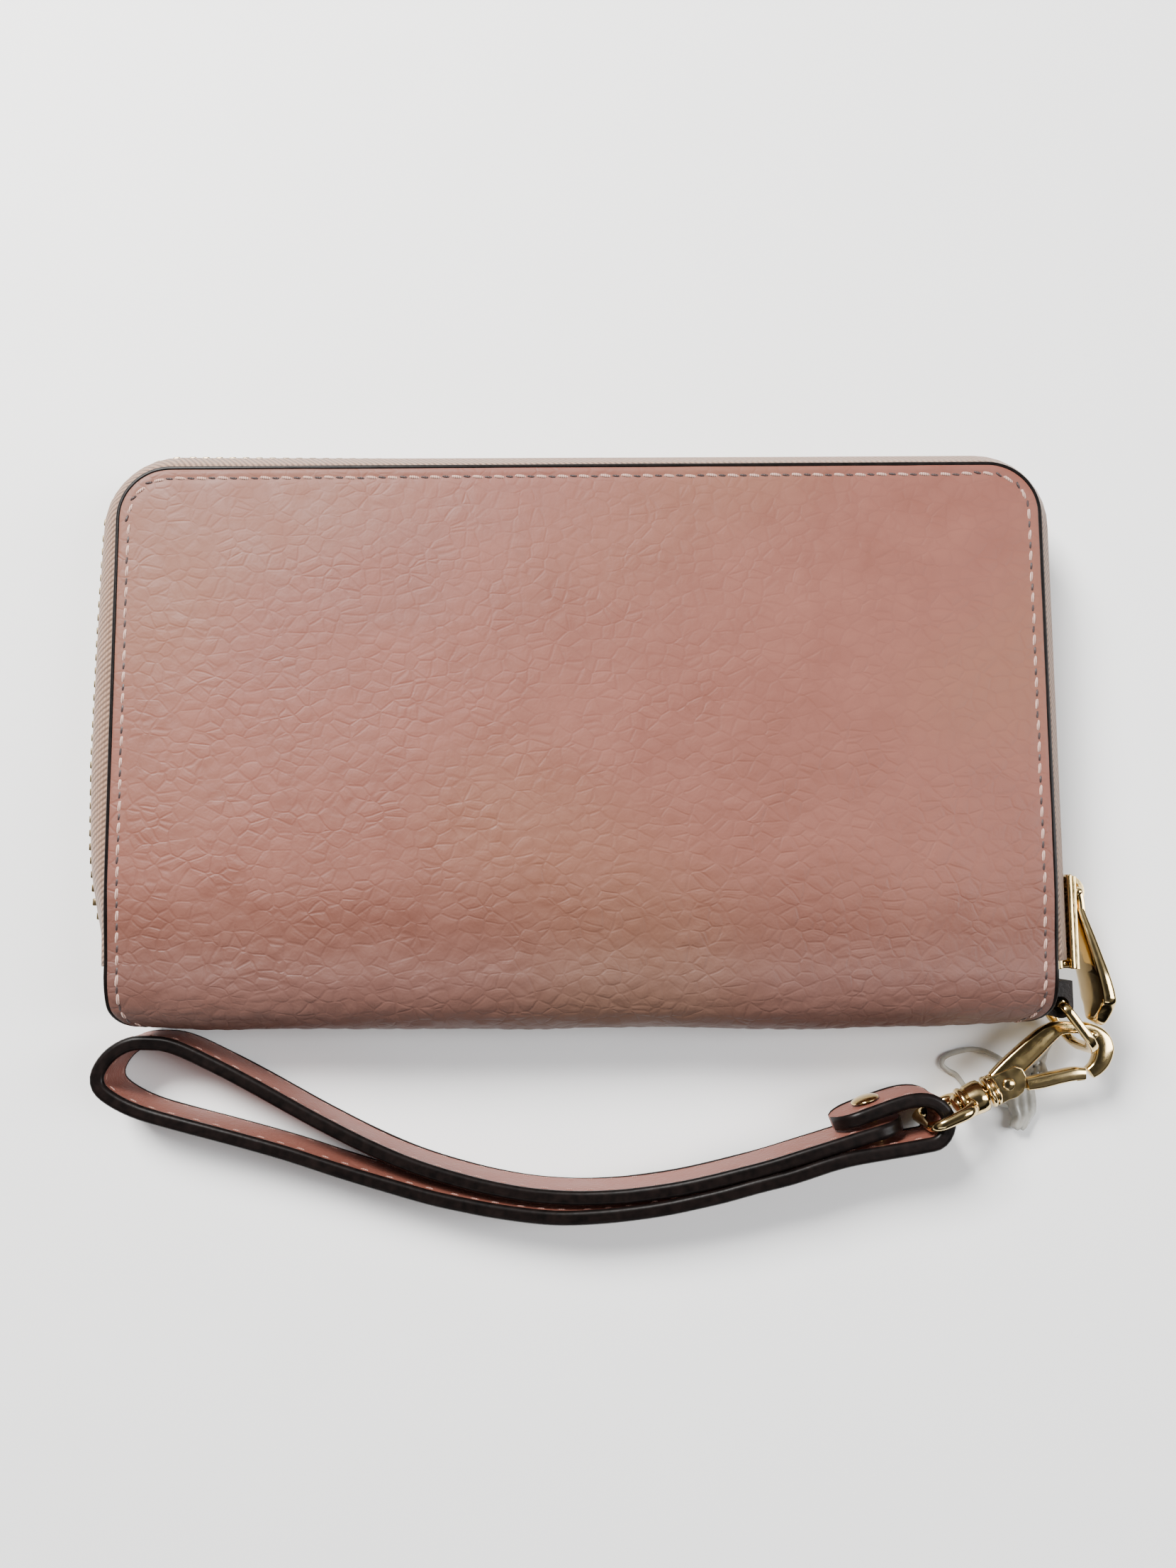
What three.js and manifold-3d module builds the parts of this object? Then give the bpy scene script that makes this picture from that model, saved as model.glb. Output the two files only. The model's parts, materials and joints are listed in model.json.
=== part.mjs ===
// Wristlet wallet: a zip-around phone wallet with a side-clipped wrist strap.
// Millimetres, +Z up. The wallet lies on its front cover. The origin is the middle of that
// cover's underside, +X runs along the spine to the zip slider, +Y runs to the opening edge.
import * as THREE from 'three';
import { mergeVertices } from 'three/addons/utils/BufferGeometryUtils.js';
import Module from 'manifold-3d';

const wasm = await Module();
wasm.setup();

// Driving dimensions
const LENGTH = 160;
const HEIGHT = 97;
const THICKNESS = 20;
const MID = THICKNESS / 2;
const CORNER = 9;
const GAP = 0.3;
const COVER = 1.5;
const HALF_X = LENGTH / 2;
const TOP_Y = HEIGHT / 2;
const HINGE_Y = -HEIGHT / 2;
const SPINE_Y = HINGE_Y + MID;

// Zip, measured outwards from the cover's edge
const ZIP_END_Y = -37.5;
const TEETH_IN = 2.4;
const TEETH_OUT = 4.6;
const TEETH_NEAR = 0.7;
const TEETH_FAR = 2.4;
const SLIDER_LOW_Y = -39.2;
const SLIDER_TOP_Y = -23.2;
const SLIDER_PLATE_OUT = 5.6;
const PULL_PIVOT = new THREE.Vector2(86.5, -25.9);

// Clip: the ring hangs in the tab, the hook on the ring's bow, the eye on the hook's post
const TAB_AXIS = new THREE.Vector2(82.6, -45.4);
const BOW_AXIS = new THREE.Vector2(87.9, -52.8);
const RING_Z = 8.4;
const CLIP_Z = 7.35;
const HOOK_THICK = 2.2;
const GATE_PIVOT = new THREE.Vector2(74.4, -59.3);
const FLANGE = new THREE.Vector2(71.3, -60.7);
const SWIVEL_ANGLE = THREE.MathUtils.degToRad(24);
const EYE_REACH = 12.6;
const EYE_HALF = 7.25;
const EYE_WIRE = 1.8;
const PIVOT_HOLE = 0.9;
const FORK_HALF = 0.75;
const BARREL_RADIUS = 2.8;
const POST_HOLE = 1.3;
const POST_RADIUS = 0.95;
const POST_HEAD_REACH = -5.9;

// Wrist strap
const STRAP_THICK = 2.3;
const STRAP_WIDTH = 10.3;
const STRAP_LIFT = 2.1;
const STRAP_REST = 0.05;
const RISE_START_X = -5;
const RISE_END_X = 45;

const PINK = 0xbd9284;
const LINING = 0x9c7a70;
const TAPE = 0xc7aa94;
const GOLD = 0xd9b877;
const EDGE = 0x241a18;
const CLEAR = 0xd8d4cc;

const wallet = new THREE.Group();

function add(name, geometry, color, roughness, metalness) {
  const material = new THREE.MeshStandardMaterial({ color, roughness, metalness });
  const mesh = new THREE.Mesh(geometry, material);
  mesh.name = name;
  wallet.add(mesh);
}

const leather = (name, geometry) => add(name, geometry, PINK, 0.62, 0);
const lining = (name, geometry) => add(name, geometry, LINING, 0.85, 0);
const gold = (name, geometry) => add(name, geometry, GOLD, 0.22, 1);

// Solids

function toSolid(geometry) {
  const bare = geometry.clone();
  bare.deleteAttribute('normal');
  bare.deleteAttribute('uv');
  const merged = mergeVertices(bare, 1e-4);
  return new wasm.Manifold(new wasm.Mesh({
    numProp: 3,
    vertProperties: new Float32Array(merged.attributes.position.array),
    triVerts: new Uint32Array(merged.index.array),
  }));
}

function toGeometry(solid) {
  const mesh = solid.getMesh();
  const geometry = new THREE.BufferGeometry();
  geometry.setAttribute('position', new THREE.BufferAttribute(new Float32Array(mesh.vertProperties), 3));
  geometry.setIndex(new THREE.BufferAttribute(new Uint32Array(mesh.triVerts), 1));
  geometry.computeVertexNormals();
  return geometry;
}

function combine(start, joined, cut = []) {
  let solid = toSolid(start);
  for (const piece of joined) solid = solid.add(toSolid(piece));
  for (const piece of cut) solid = solid.subtract(toSolid(piece));
  return toGeometry(solid);
}

function box(low, high) {
  const size = high.map((value, i) => value - low[i]);
  const geometry = new THREE.BoxGeometry(...size);
  return geometry.translate(low[0] + size[0] / 2, low[1] + size[1] / 2, low[2] + size[2] / 2);
}

function slab(shape, lowZ, highZ, curveSegments = 6) {
  const geometry = new THREE.ExtrudeGeometry(shape, {
    depth: highZ - lowZ, bevelEnabled: false, curveSegments,
  });
  return geometry.translate(0, 0, lowZ);
}

function rod(center, radius, lowZ, highZ, sides = 16) {
  const geometry = new THREE.CylinderGeometry(radius, radius, highZ - lowZ, sides);
  geometry.rotateX(Math.PI / 2);
  return geometry.translate(center.x, center.y, (lowZ + highZ) / 2);
}

// A closed solid through rings of points, each ring with as many points as the outline.
function loft(rings, outline) {
  const count = outline.length;
  const positions = rings.flat().flatMap((p) => [p.x, p.y, p.z]);
  const index = [];
  for (let i = 0; i + 1 < rings.length; i += 1) {
    for (let j = 0; j < count; j += 1) {
      const a = i * count + j;
      const b = i * count + ((j + 1) % count);
      index.push(a, b, b + count, a, b + count, a + count);
    }
  }
  const last = (rings.length - 1) * count;
  for (const [a, b, c] of THREE.ShapeUtils.triangulateShape(outline, [])) {
    index.push(a, c, b);
    index.push(last + a, last + b, last + c);
  }
  const geometry = new THREE.BufferGeometry();
  geometry.setAttribute('position', new THREE.Float32BufferAttribute(positions, 3));
  geometry.setIndex(index);
  geometry.computeVertexNormals();
  return geometry;
}

// Covers, boards, linings and pockets

function panelShape(inset, bottomY) {
  const right = HALF_X - inset;
  const top = TOP_Y - inset;
  const radius = Math.max(CORNER - inset, 2);
  const shape = new THREE.Shape();
  shape.moveTo(-right, bottomY);
  shape.lineTo(right, bottomY);
  shape.lineTo(right, top - radius);
  shape.absarc(right - radius, top - radius, radius, 0, Math.PI / 2);
  shape.lineTo(-right + radius, top);
  shape.absarc(-right + radius, top - radius, radius, Math.PI / 2, Math.PI);
  return shape;
}

// A layer lies between two depths below the cover's skin; the back half mirrors the front.
function layer(shape, back, depth, thick) {
  return back
    ? slab(shape, THICKNESS - depth - thick, THICKNESS - depth)
    : slab(shape, depth, depth + thick);
}

function spineShape(back) {
  const inner = MID - COVER;
  const gap = Math.asin((GAP / 2) / MID);
  const shape = new THREE.Shape();
  const sign = back ? 1 : -1;
  const start = Math.PI - sign * gap;
  const end = Math.PI - sign * (Math.PI / 2 - gap);
  shape.absarc(0, 0, MID, start, end, back);
  shape.absarc(0, 0, inner, end, start, !back);
  return shape;
}

function spine(back) {
  const geometry = new THREE.ExtrudeGeometry(spineShape(back), {
    depth: LENGTH - 1, bevelEnabled: false, curveSegments: 10,
  });
  geometry.rotateX(Math.PI / 2);
  geometry.rotateZ(Math.PI / 2);
  return geometry.translate(-HALF_X + 0.5, SPINE_Y, MID);
}

function rectangle(left, bottom, right, top) {
  return new THREE.Shape([
    new THREE.Vector2(left, bottom),
    new THREE.Vector2(right, bottom),
    new THREE.Vector2(right, top),
    new THREE.Vector2(left, top),
  ]);
}

const BOARD_DEPTH = COVER + GAP;
const LINING_DEPTH = 2.9;
const POCKET_DEPTH = 3.7;
const POCKET_THICK = 0.5;
const POCKET_STEP = 0.8;
const CARD_SLOTS = 3;
const CARD_TOP_Y = 30;
const PHONE_TOP_Y = 34;
const PHONE_THICK = 0.7;
const POCKET_END_X = 68;
const POCKET_LOW_Y = -36;
const CARD_STEP_Y = 9;

for (const back of [false, true]) {
  const half = back ? 'back' : 'front';
  leather(`${half}_cover`, layer(panelShape(0, SPINE_Y + GAP / 2), back, 0, COVER));
  leather(`spine_${half}`, spine(back));
  lining(`${half}_board`, layer(panelShape(5, -37), back, BOARD_DEPTH, 0.8));
  lining(`${half}_lining`, layer(panelShape(2, -37.5), back, LINING_DEPTH, 0.5));
}
const phoneShape = rectangle(-POCKET_END_X, POCKET_LOW_Y, POCKET_END_X, PHONE_TOP_Y);
leather('phone_pocket', layer(phoneShape, false, POCKET_DEPTH, PHONE_THICK));
for (const [side, left, right] of [['left', -POCKET_END_X, -1], ['right', 1, POCKET_END_X]]) {
  for (let slot = 0; slot < CARD_SLOTS; slot += 1) {
    const shape = rectangle(left, POCKET_LOW_Y, right, CARD_TOP_Y - slot * CARD_STEP_Y);
    const depth = POCKET_DEPTH + slot * POCKET_STEP;
    leather(`card_pocket_${side}_${slot + 1}`, layer(shape, true, depth, POCKET_THICK));
  }
}

// Gussets: one inward pleat at each end, joining the two linings
const GUSSET_OUT = 77;
const GUSSET_IN = 72;
const GUSSET_THICK = 0.5;
const GUSSET_LOW_Y = -34;
const GUSSET_TOP_Y = 28;

function gusset(side) {
  const low = POCKET_DEPTH;
  const high = THICKNESS - POCKET_DEPTH;
  const shape = new THREE.Shape([
    new THREE.Vector2(GUSSET_OUT, low),
    new THREE.Vector2(GUSSET_IN + GUSSET_THICK, MID),
    new THREE.Vector2(GUSSET_OUT, high),
    new THREE.Vector2(GUSSET_OUT - GUSSET_THICK, high),
    new THREE.Vector2(GUSSET_IN, MID),
    new THREE.Vector2(GUSSET_OUT - GUSSET_THICK, low),
  ]);
  const depth = GUSSET_TOP_Y - GUSSET_LOW_Y;
  const geometry = new THREE.ExtrudeGeometry(shape, { depth, bevelEnabled: false });
  geometry.rotateX(Math.PI / 2);
  geometry.translate(0, GUSSET_TOP_Y, 0);
  if (side < 0) geometry.rotateY(Math.PI).translate(0, 0, THICKNESS);
  return geometry;
}
lining('gusset_left', gusset(-1));
lining('gusset_right', gusset(1));

// Zip: tape and teeth follow the two ends and the opening edge

function zipPath() {
  const path = [];
  const turn = (centerX, from) => {
    for (let i = 0; i <= 6; i += 1) {
      const angle = from + (i / 6) * (Math.PI / 2);
      const nx = Math.cos(angle);
      const ny = Math.sin(angle);
      path.push({ x: centerX + CORNER * nx, y: TOP_Y - CORNER + CORNER * ny, nx, ny });
    }
  };
  path.push({ x: HALF_X, y: ZIP_END_Y, nx: 1, ny: 0 });
  turn(HALF_X - CORNER, 0);
  turn(-HALF_X + CORNER, Math.PI / 2);
  path.push({ x: -HALF_X, y: ZIP_END_Y, nx: -1, ny: 0 });
  return path;
}

function alongZip(outline, back) {
  const points = outline.map(([out, z]) => new THREE.Vector2(out, back ? THICKNESS - z : z));
  if (back) points.reverse();
  const rings = zipPath().reverse().map(({ x, y, nx, ny }) => (
    points.map((p) => new THREE.Vector3(x + p.x * nx, y + p.x * ny, p.y))
  ));
  return loft(rings, points);
}

const TAPE_OUTLINE = [
  [-3.5, 1.8], [0.6, 1.8], [2.3, 2.9], [3.5, 4.6], [3.9, 6.4], [3.9, 7.2],
  [3.1, 7.2], [3.1, 6.4], [2.7, 4.9], [1.8, 3.5], [0.3, 2.6], [-3.5, 2.6],
];
const TEETH_OUTLINE = [
  [TEETH_IN, MID - TEETH_FAR], [TEETH_OUT, MID - TEETH_FAR],
  [TEETH_OUT, MID - TEETH_NEAR], [TEETH_IN, MID - TEETH_NEAR],
];
for (const back of [false, true]) {
  const half = back ? 'back' : 'front';
  add(`zip_tape_${half}`, alongZip(TAPE_OUTLINE, back), TAPE, 0.9, 0);
  gold(`zip_teeth_${half}`, alongZip(TEETH_OUTLINE, back));
  const low = back ? MID + TEETH_NEAR : MID - TEETH_FAR;
  const high = low + TEETH_FAR - TEETH_NEAR;
  gold(`zip_top_stop_${half}`, box(
    [HALF_X + TEETH_IN, ZIP_END_Y - 1.3, low],
    [HALF_X + TEETH_OUT, ZIP_END_Y - 0.4, high],
  ));
}
gold('zip_bottom_stop', box(
  [-HALF_X - TEETH_OUT, ZIP_END_Y - 2, MID - TEETH_FAR],
  [-HALF_X - TEETH_IN, ZIP_END_Y - 0.5, MID + TEETH_FAR],
));

// Slider: two plates round the teeth, joined by the divider, with an arch for the puller
const SLIDER_HALF = 3.8;
const PLATE = 0.7;
const ARCH_OUT = 2.7;
const ARCH_IN = 1.9;

function slider() {
  const inner = HALF_X + TEETH_IN - GAP;
  const outer = HALF_X + SLIDER_PLATE_OUT;
  const lowZ = MID - SLIDER_HALF;
  const highZ = MID + SLIDER_HALF;
  const plate = (x) => box([x, SLIDER_LOW_Y, lowZ], [x + PLATE, SLIDER_TOP_Y, highZ]);
  const lip = (low, high) => box([low, SLIDER_LOW_Y, lowZ], [high, SLIDER_TOP_Y, lowZ + 0.9]);
  const divider = box(
    [inner - PLATE / 2, SLIDER_LOW_Y, MID - 0.35],
    [outer - PLATE / 2, SLIDER_LOW_Y + 2, MID + 0.35],
  );
  const arch = new THREE.Shape();
  arch.absarc(outer - PLATE / 2, PULL_PIVOT.y, ARCH_OUT + PLATE / 2, -Math.PI / 2, Math.PI / 2);
  arch.absarc(outer - PLATE / 2, PULL_PIVOT.y, ARCH_IN + PLATE / 2, Math.PI / 2, -Math.PI / 2, true);
  return combine(plate(inner - PLATE), [
    plate(outer - PLATE),
    divider,
    lip(inner - PLATE / 2, HALF_X + 2.8),
    lip(HALF_X + 4.2, outer - PLATE / 2),
    slab(arch, MID - 0.7, MID + 0.7, 8),
  ]);
}
gold('zip_slider', slider());

// Puller: a knuckle bar under the arch, two cheeks beside it, and a long tapered plate
const PULL_STATIONS = [
  { x: 86.7, y: -29.4, z: 10, thick: 1.5, width: 6 },
  { x: 88.4, y: -36.6, z: 10.3, thick: 2.0, width: 9.2 },
  { x: 89.5, y: -41.4, z: 10.6, thick: 2.6, width: 10.2 },
  { x: 89.7, y: -44.2, z: 10.8, thick: 2.8, width: 10.2 },
  { x: 88.9, y: -48.2, z: 11.2, thick: 2.6, width: 3.8 },
];

function puller() {
  const half = 0.5;
  const outline = [[-half, -half], [half, -half], [half, half], [-half, half]]
    .map(([x, y]) => new THREE.Vector2(x, y));
  const rings = PULL_STATIONS.map((station, i) => {
    const before = PULL_STATIONS[Math.max(i - 1, 0)];
    const after = PULL_STATIONS[Math.min(i + 1, PULL_STATIONS.length - 1)];
    const side = new THREE.Vector2(after.x - before.x, after.y - before.y).normalize();
    return outline.map((p) => new THREE.Vector3(
      station.x - side.y * p.x * station.thick,
      station.y + side.x * p.x * station.thick,
      station.z + p.y * station.width,
    ));
  });
  const cheek = (low, high) => {
    const geometry = box([-0.7, -4, low], [0.7, 0, high]);
    geometry.rotateZ(0.05);
    return geometry.translate(PULL_PIVOT.x, PULL_PIVOT.y, 0);
  };
  return combine(loft(rings, outline), [
    rod(PULL_PIVOT, 0.7, MID - 3, MID + 3, 12),
    cheek(MID - 3, MID - 1.1),
    cheek(MID + 1.1, MID + 3),
  ]);
}
gold('zip_puller', puller());

// A dome on a short stem, turned about +Z and then aimed along a direction in the plane.
function dome(radius, height, stemRadius, stemLength) {
  const profile = [new THREE.Vector2(0, -stemLength)];
  if (stemLength > 0) {
    profile.push(new THREE.Vector2(stemRadius, -stemLength), new THREE.Vector2(stemRadius, 0));
  }
  for (let i = 0; i <= 5; i += 1) {
    const angle = (i / 5) * (Math.PI / 2);
    profile.push(new THREE.Vector2(radius * Math.cos(angle), height * Math.sin(angle)));
  }
  profile[profile.length - 1].x = 0;
  return new THREE.LatheGeometry(profile, 16).rotateX(Math.PI / 2);
}

function aimed(geometry, angle, x, y, z) {
  return geometry.rotateY(Math.PI / 2).rotateZ(angle).translate(x, y, z);
}
gold('puller_dome', aimed(dome(1.6, 0.6, 0, 0), 0.23, 88.62, -33.2, 10.15));

// Ring tab: a leather strip folded round the ring's back bar
const TAB_RADIUS = 2.2;
const TAB_TOP_Y = -41.2;
const TAB_HALF = 4;
const TAB_HOLE = 1.5;

function ringTab() {
  const shape = new THREE.Shape();
  shape.moveTo(TAB_AXIS.x + TAB_RADIUS, TAB_TOP_Y);
  shape.lineTo(TAB_AXIS.x - TAB_RADIUS, TAB_TOP_Y);
  shape.lineTo(TAB_AXIS.x - TAB_RADIUS, TAB_AXIS.y);
  shape.absarc(TAB_AXIS.x, TAB_AXIS.y, TAB_RADIUS, Math.PI, 2 * Math.PI);
  const hole = new THREE.Path();
  hole.absarc(TAB_AXIS.x, TAB_AXIS.y, TAB_HOLE, 0, 2 * Math.PI, true);
  shape.holes.push(hole);
  return slab(shape, RING_Z - TAB_HALF, RING_Z + TAB_HALF, 16);
}
add('ring_tab', ringTab(), EDGE, 0.6, 0);

// Ring: flat wire, drawn in its own upright plane, u from the tab to the bow and v up
const RING_HALF = 6.4;
const RING_WIRE = 1.6;
const RING_PLATE = 1.5;

function roundedFrame(lowU, highU, halfV, wire, cornerNear, cornerFar) {
  const outline = (target, inset) => {
    const u0 = lowU + inset;
    const u1 = highU - inset;
    const v = halfV - inset;
    const near = Math.max(cornerNear - inset, 0.3);
    const far = Math.max(cornerFar - inset, 0.3);
    target.absarc(u1 - far, v - far, far, 0, Math.PI / 2);
    target.absarc(u0 + near, v - near, near, Math.PI / 2, Math.PI);
    target.absarc(u0 + near, -v + near, near, Math.PI, 1.5 * Math.PI);
    target.absarc(u1 - far, -v + far, far, 1.5 * Math.PI, 2 * Math.PI);
    return target;
  };
  const shape = outline(new THREE.Shape(), 0);
  shape.holes.push(outline(new THREE.Path(), wire));
  return shape;
}

// Stands an extrusion in (u, v) upright along the plan direction, centred on its thickness.
function upright(geometry, thick, angle, origin, z) {
  geometry.translate(0, 0, -thick / 2);
  geometry.rotateX(Math.PI / 2);
  geometry.rotateZ(angle);
  return geometry.translate(origin.x, origin.y, z);
}

function ring() {
  const reach = TAB_AXIS.distanceTo(BOW_AXIS);
  const angle = Math.atan2(BOW_AXIS.y - TAB_AXIS.y, BOW_AXIS.x - TAB_AXIS.x);
  const shape = roundedFrame(
    -RING_WIRE / 2, reach + RING_WIRE / 2, RING_HALF, RING_WIRE, 1, 3.2,
  );
  return upright(slab(shape, 0, RING_PLATE, 5), RING_PLATE, angle, TAB_AXIS, RING_Z);
}
gold('d_ring', ring());

// Hook: spine, base plate, flange and nose in one outline; the gate's tongue sits in a slot
const HOOK_LOW = CLIP_Z - HOOK_THICK / 2;
const HOOK_HIGH = CLIP_Z + HOOK_THICK / 2;
const axisAt = (reach, side = 0) => new THREE.Vector2(
  FLANGE.x + reach * Math.cos(SWIVEL_ANGLE) - side * Math.sin(SWIVEL_ANGLE),
  FLANGE.y + reach * Math.sin(SWIVEL_ANGLE) + side * Math.cos(SWIVEL_ANGLE),
);

function hookShape() {
  const shape = new THREE.Shape();
  shape.moveTo(axisAt(0, -2.7).x, axisAt(0, -2.7).y);
  shape.lineTo(76.0, -61.3);
  shape.lineTo(77.3, -58.6);
  shape.lineTo(77.2, -55.0);
  shape.lineTo(83.8, -50.3);
  shape.quadraticCurveTo(89.3, -50.9, 90.1, -53.4);
  shape.quadraticCurveTo(90.3, -55.2, 88.6, -56.5);
  shape.lineTo(89.3, -58.5);
  shape.quadraticCurveTo(93.4, -56.6, 93.5, -52.9);
  shape.quadraticCurveTo(93.2, -48.9, 88.4, -48.8);
  shape.lineTo(82.9, -48.6);
  shape.lineTo(80.7, -49.2);
  shape.lineTo(72.2, -55.9);
  shape.lineTo(axisAt(0, 2.7).x, axisAt(0, 2.7).y);
  return shape;
}

function disc(centre, radius, thick) {
  const geometry = new THREE.CylinderGeometry(radius, radius, thick, 16);
  geometry.rotateZ(SWIVEL_ANGLE - Math.PI / 2);
  return geometry.translate(centre.x, centre.y, CLIP_Z);
}

function hook() {
  const forkLow = CLIP_Z - FORK_HALF;
  const forkHigh = CLIP_Z + FORK_HALF;
  const mouth = new THREE.Shape([
    new THREE.Vector2(74.8, -62.6), new THREE.Vector2(79, -62.6),
    new THREE.Vector2(79, -56.2), new THREE.Vector2(74.8, -56.4),
  ]);
  return combine(slab(hookShape(), HOOK_LOW, HOOK_HIGH, 6), [disc(axisAt(0.1), BARREL_RADIUS, 1.2)], [
    rod(GATE_PIVOT, 2.9, forkLow, forkHigh, 20),
    slab(mouth, forkLow, forkHigh),
    rod(GATE_PIVOT, PIVOT_HOLE, HOOK_LOW - 1, HOOK_HIGH + 1, 16),
    disc(axisAt(-0.5), POST_HOLE, 1.8),
  ]);
}
gold('clasp_hook', hook());
gold('hook_stud', dome(0.7, 0.5, 0, 0).translate(89.6, -50.9, HOOK_HIGH + GAP));

// Gate: a tongue on the rivet and a bar that closes on the hook's nose
function gate() {
  const arm = new THREE.Shape();
  arm.moveTo(77.7, -60.3);
  arm.lineTo(87.6, -58.7);
  arm.lineTo(87.9, -57.0);
  arm.lineTo(86.6, -56.7);
  arm.lineTo(77.7, -58.6);
  const tongue = new THREE.Shape();
  tongue.moveTo(78.2, -60.2);
  tongue.lineTo(78.2, -58.6);
  tongue.lineTo(GATE_PIVOT.x + 0.2, GATE_PIVOT.y + 1.8);
  tongue.absarc(GATE_PIVOT.x, GATE_PIVOT.y, 1.8, Math.PI / 2, 1.6 * Math.PI);
  const bar = slab(arm, CLIP_Z - 0.95, CLIP_Z + 0.95);
  return combine(bar, [slab(tongue, CLIP_Z - 0.45, CLIP_Z + 0.1)], [
    rod(GATE_PIVOT, PIVOT_HOLE, CLIP_Z - 2, CLIP_Z + 2, 16),
  ]);
}
gold('clasp_gate', gate());

function gateRivet() {
  const shank = rod(GATE_PIVOT, 0.6, HOOK_LOW + 0.1, HOOK_HIGH + 0.4, 12);
  return combine(shank, [dome(1.1, 0.4, 0, 0).translate(GATE_PIVOT.x, GATE_PIVOT.y, HOOK_HIGH + GAP)]);
}
gold('gate_rivet', gateRivet());
gold('gate_spring', combine(
  rod(GATE_PIVOT, 1.5, CLIP_Z + 0.3, CLIP_Z + 0.6, 16), [],
  [rod(GATE_PIVOT, PIVOT_HOLE, CLIP_Z, CLIP_Z + 1, 16)],
));

// Swivel: the post's head holds the eye's barrel against the hook's flange
function swivelPost() {
  const head = POST_HEAD_REACH;
  const profile = [
    [0, -GAP], [POST_RADIUS, -GAP], [POST_RADIUS, head], [2.1, head], [1.7, head - 0.8], [0, head - 1.1],
  ].map(([radius, reach]) => new THREE.Vector2(radius, reach));
  const geometry = new THREE.LatheGeometry(profile.reverse(), 16);
  geometry.rotateZ(SWIVEL_ANGLE - Math.PI / 2);
  return geometry.translate(FLANGE.x, FLANGE.y, CLIP_Z);
}
gold('swivel_post', swivelPost());

function eye() {
  const middle = axisAt(-3.3);
  const frame = roundedFrame(
    -EYE_REACH - EYE_WIRE / 2, -3.2, EYE_HALF, EYE_WIRE, 2.2, 3.4,
  );
  return combine(
    upright(slab(frame, 0, EYE_WIRE, 5), EYE_WIRE, SWIVEL_ANGLE, FLANGE, CLIP_Z),
    [disc(middle, BARREL_RADIUS, 4.6)],
    [disc(middle, POST_HOLE, 8)],
  );
}
gold('swivel_eye', eye());

// Strap: one strip on edge. It starts at the tail, turns round the eye's bar, runs out to the
// far end, comes back beside itself and ends between the tail and the outgoing run.
const STRAP_ROUTE = [
  [43.6, -65.9], [50, -63.5], [56.5, -61.5], [60.5, -61.8], [62.7, -64.6], [61.4, -68],
  [57.6, -69.2], [46, -71.1], [33.8, -74.6], [21.6, -77.8], [9.4, -80.2], [-2.7, -81.1],
  [-14.8, -79.9], [-26.9, -77.3], [-39.1, -73.8], [-51.3, -69.9], [-63.6, -66.5],
  [-75.9, -63.2], [-82.4, -60], [-84.1, -57.2], [-82.6, -53.9], [-79.6, -51.7], [-76, -51.1],
  [-70.1, -52.1], [-57.7, -58.2], [-45.3, -64.9], [-33, -70.8], [-20.9, -74.8], [-8.7, -77.2],
  [3.4, -77.7], [15.5, -76.4], [27.7, -73.6], [40, -70], [46.1, -68.2], [51.5, -66.6],
  [55.6, -65.6],
];
const STRAP_RIVET = new THREE.Vector2(50, -63.5);
const RIVET_ANGLE = THREE.MathUtils.degToRad(108);
const RIVET_HOLE = 1.3;
const RIVET_Z = STRAP_LIFT + STRAP_WIDTH / 2;
const RIVET_CAP_REACH = 1.5;
const RIVET_BASE_REACH = -8.4;

function strapOutline() {
  const curve = new THREE.SplineCurve(STRAP_ROUTE.map(([x, y]) => new THREE.Vector2(x, y)));
  const steps = 150;
  const near = [];
  const far = [];
  for (let i = 0; i <= steps; i += 1) {
    const point = curve.getPointAt(i / steps);
    const along = curve.getTangentAt(i / steps);
    const side = new THREE.Vector2(-along.y, along.x).multiplyScalar(STRAP_THICK / 2);
    near.push(point.clone().add(side));
    far.push(point.clone().sub(side));
  }
  return new THREE.Shape(near.concat(far.reverse()));
}

// The strip rests on its lower edge and rises towards the eye.
function lifted(geometry) {
  const position = geometry.attributes.position;
  for (let i = 0; i < position.count; i += 1) {
    const rise = THREE.MathUtils.smoothstep(position.getX(i), RISE_START_X, RISE_END_X);
    position.setZ(i, position.getZ(i) + STRAP_LIFT * rise);
  }
  return geometry;
}

function strap() {
  const strip = lifted(slab(strapOutline(), STRAP_REST, STRAP_REST + STRAP_WIDTH));
  const hole = new THREE.CylinderGeometry(RIVET_HOLE, RIVET_HOLE, 24, 12);
  hole.rotateZ(RIVET_ANGLE - Math.PI / 2);
  hole.translate(STRAP_RIVET.x, STRAP_RIVET.y, RIVET_Z);
  return combine(strip, [], [hole]);
}
leather('wrist_strap', strap());

const rivetAt = (reach) => STRAP_RIVET.clone().add(
  new THREE.Vector2(Math.cos(RIVET_ANGLE), Math.sin(RIVET_ANGLE)).multiplyScalar(reach),
);
const cap = rivetAt(RIVET_CAP_REACH);
gold('strap_rivet', aimed(dome(2.6, 0.9, 1, 9), RIVET_ANGLE, cap.x, cap.y, RIVET_Z));
const base = rivetAt(RIVET_BASE_REACH);
gold('strap_rivet_base', aimed(dome(2.4, 0.6, 0, 0), RIVET_ANGLE + Math.PI, base.x, base.y, RIVET_Z));

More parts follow.
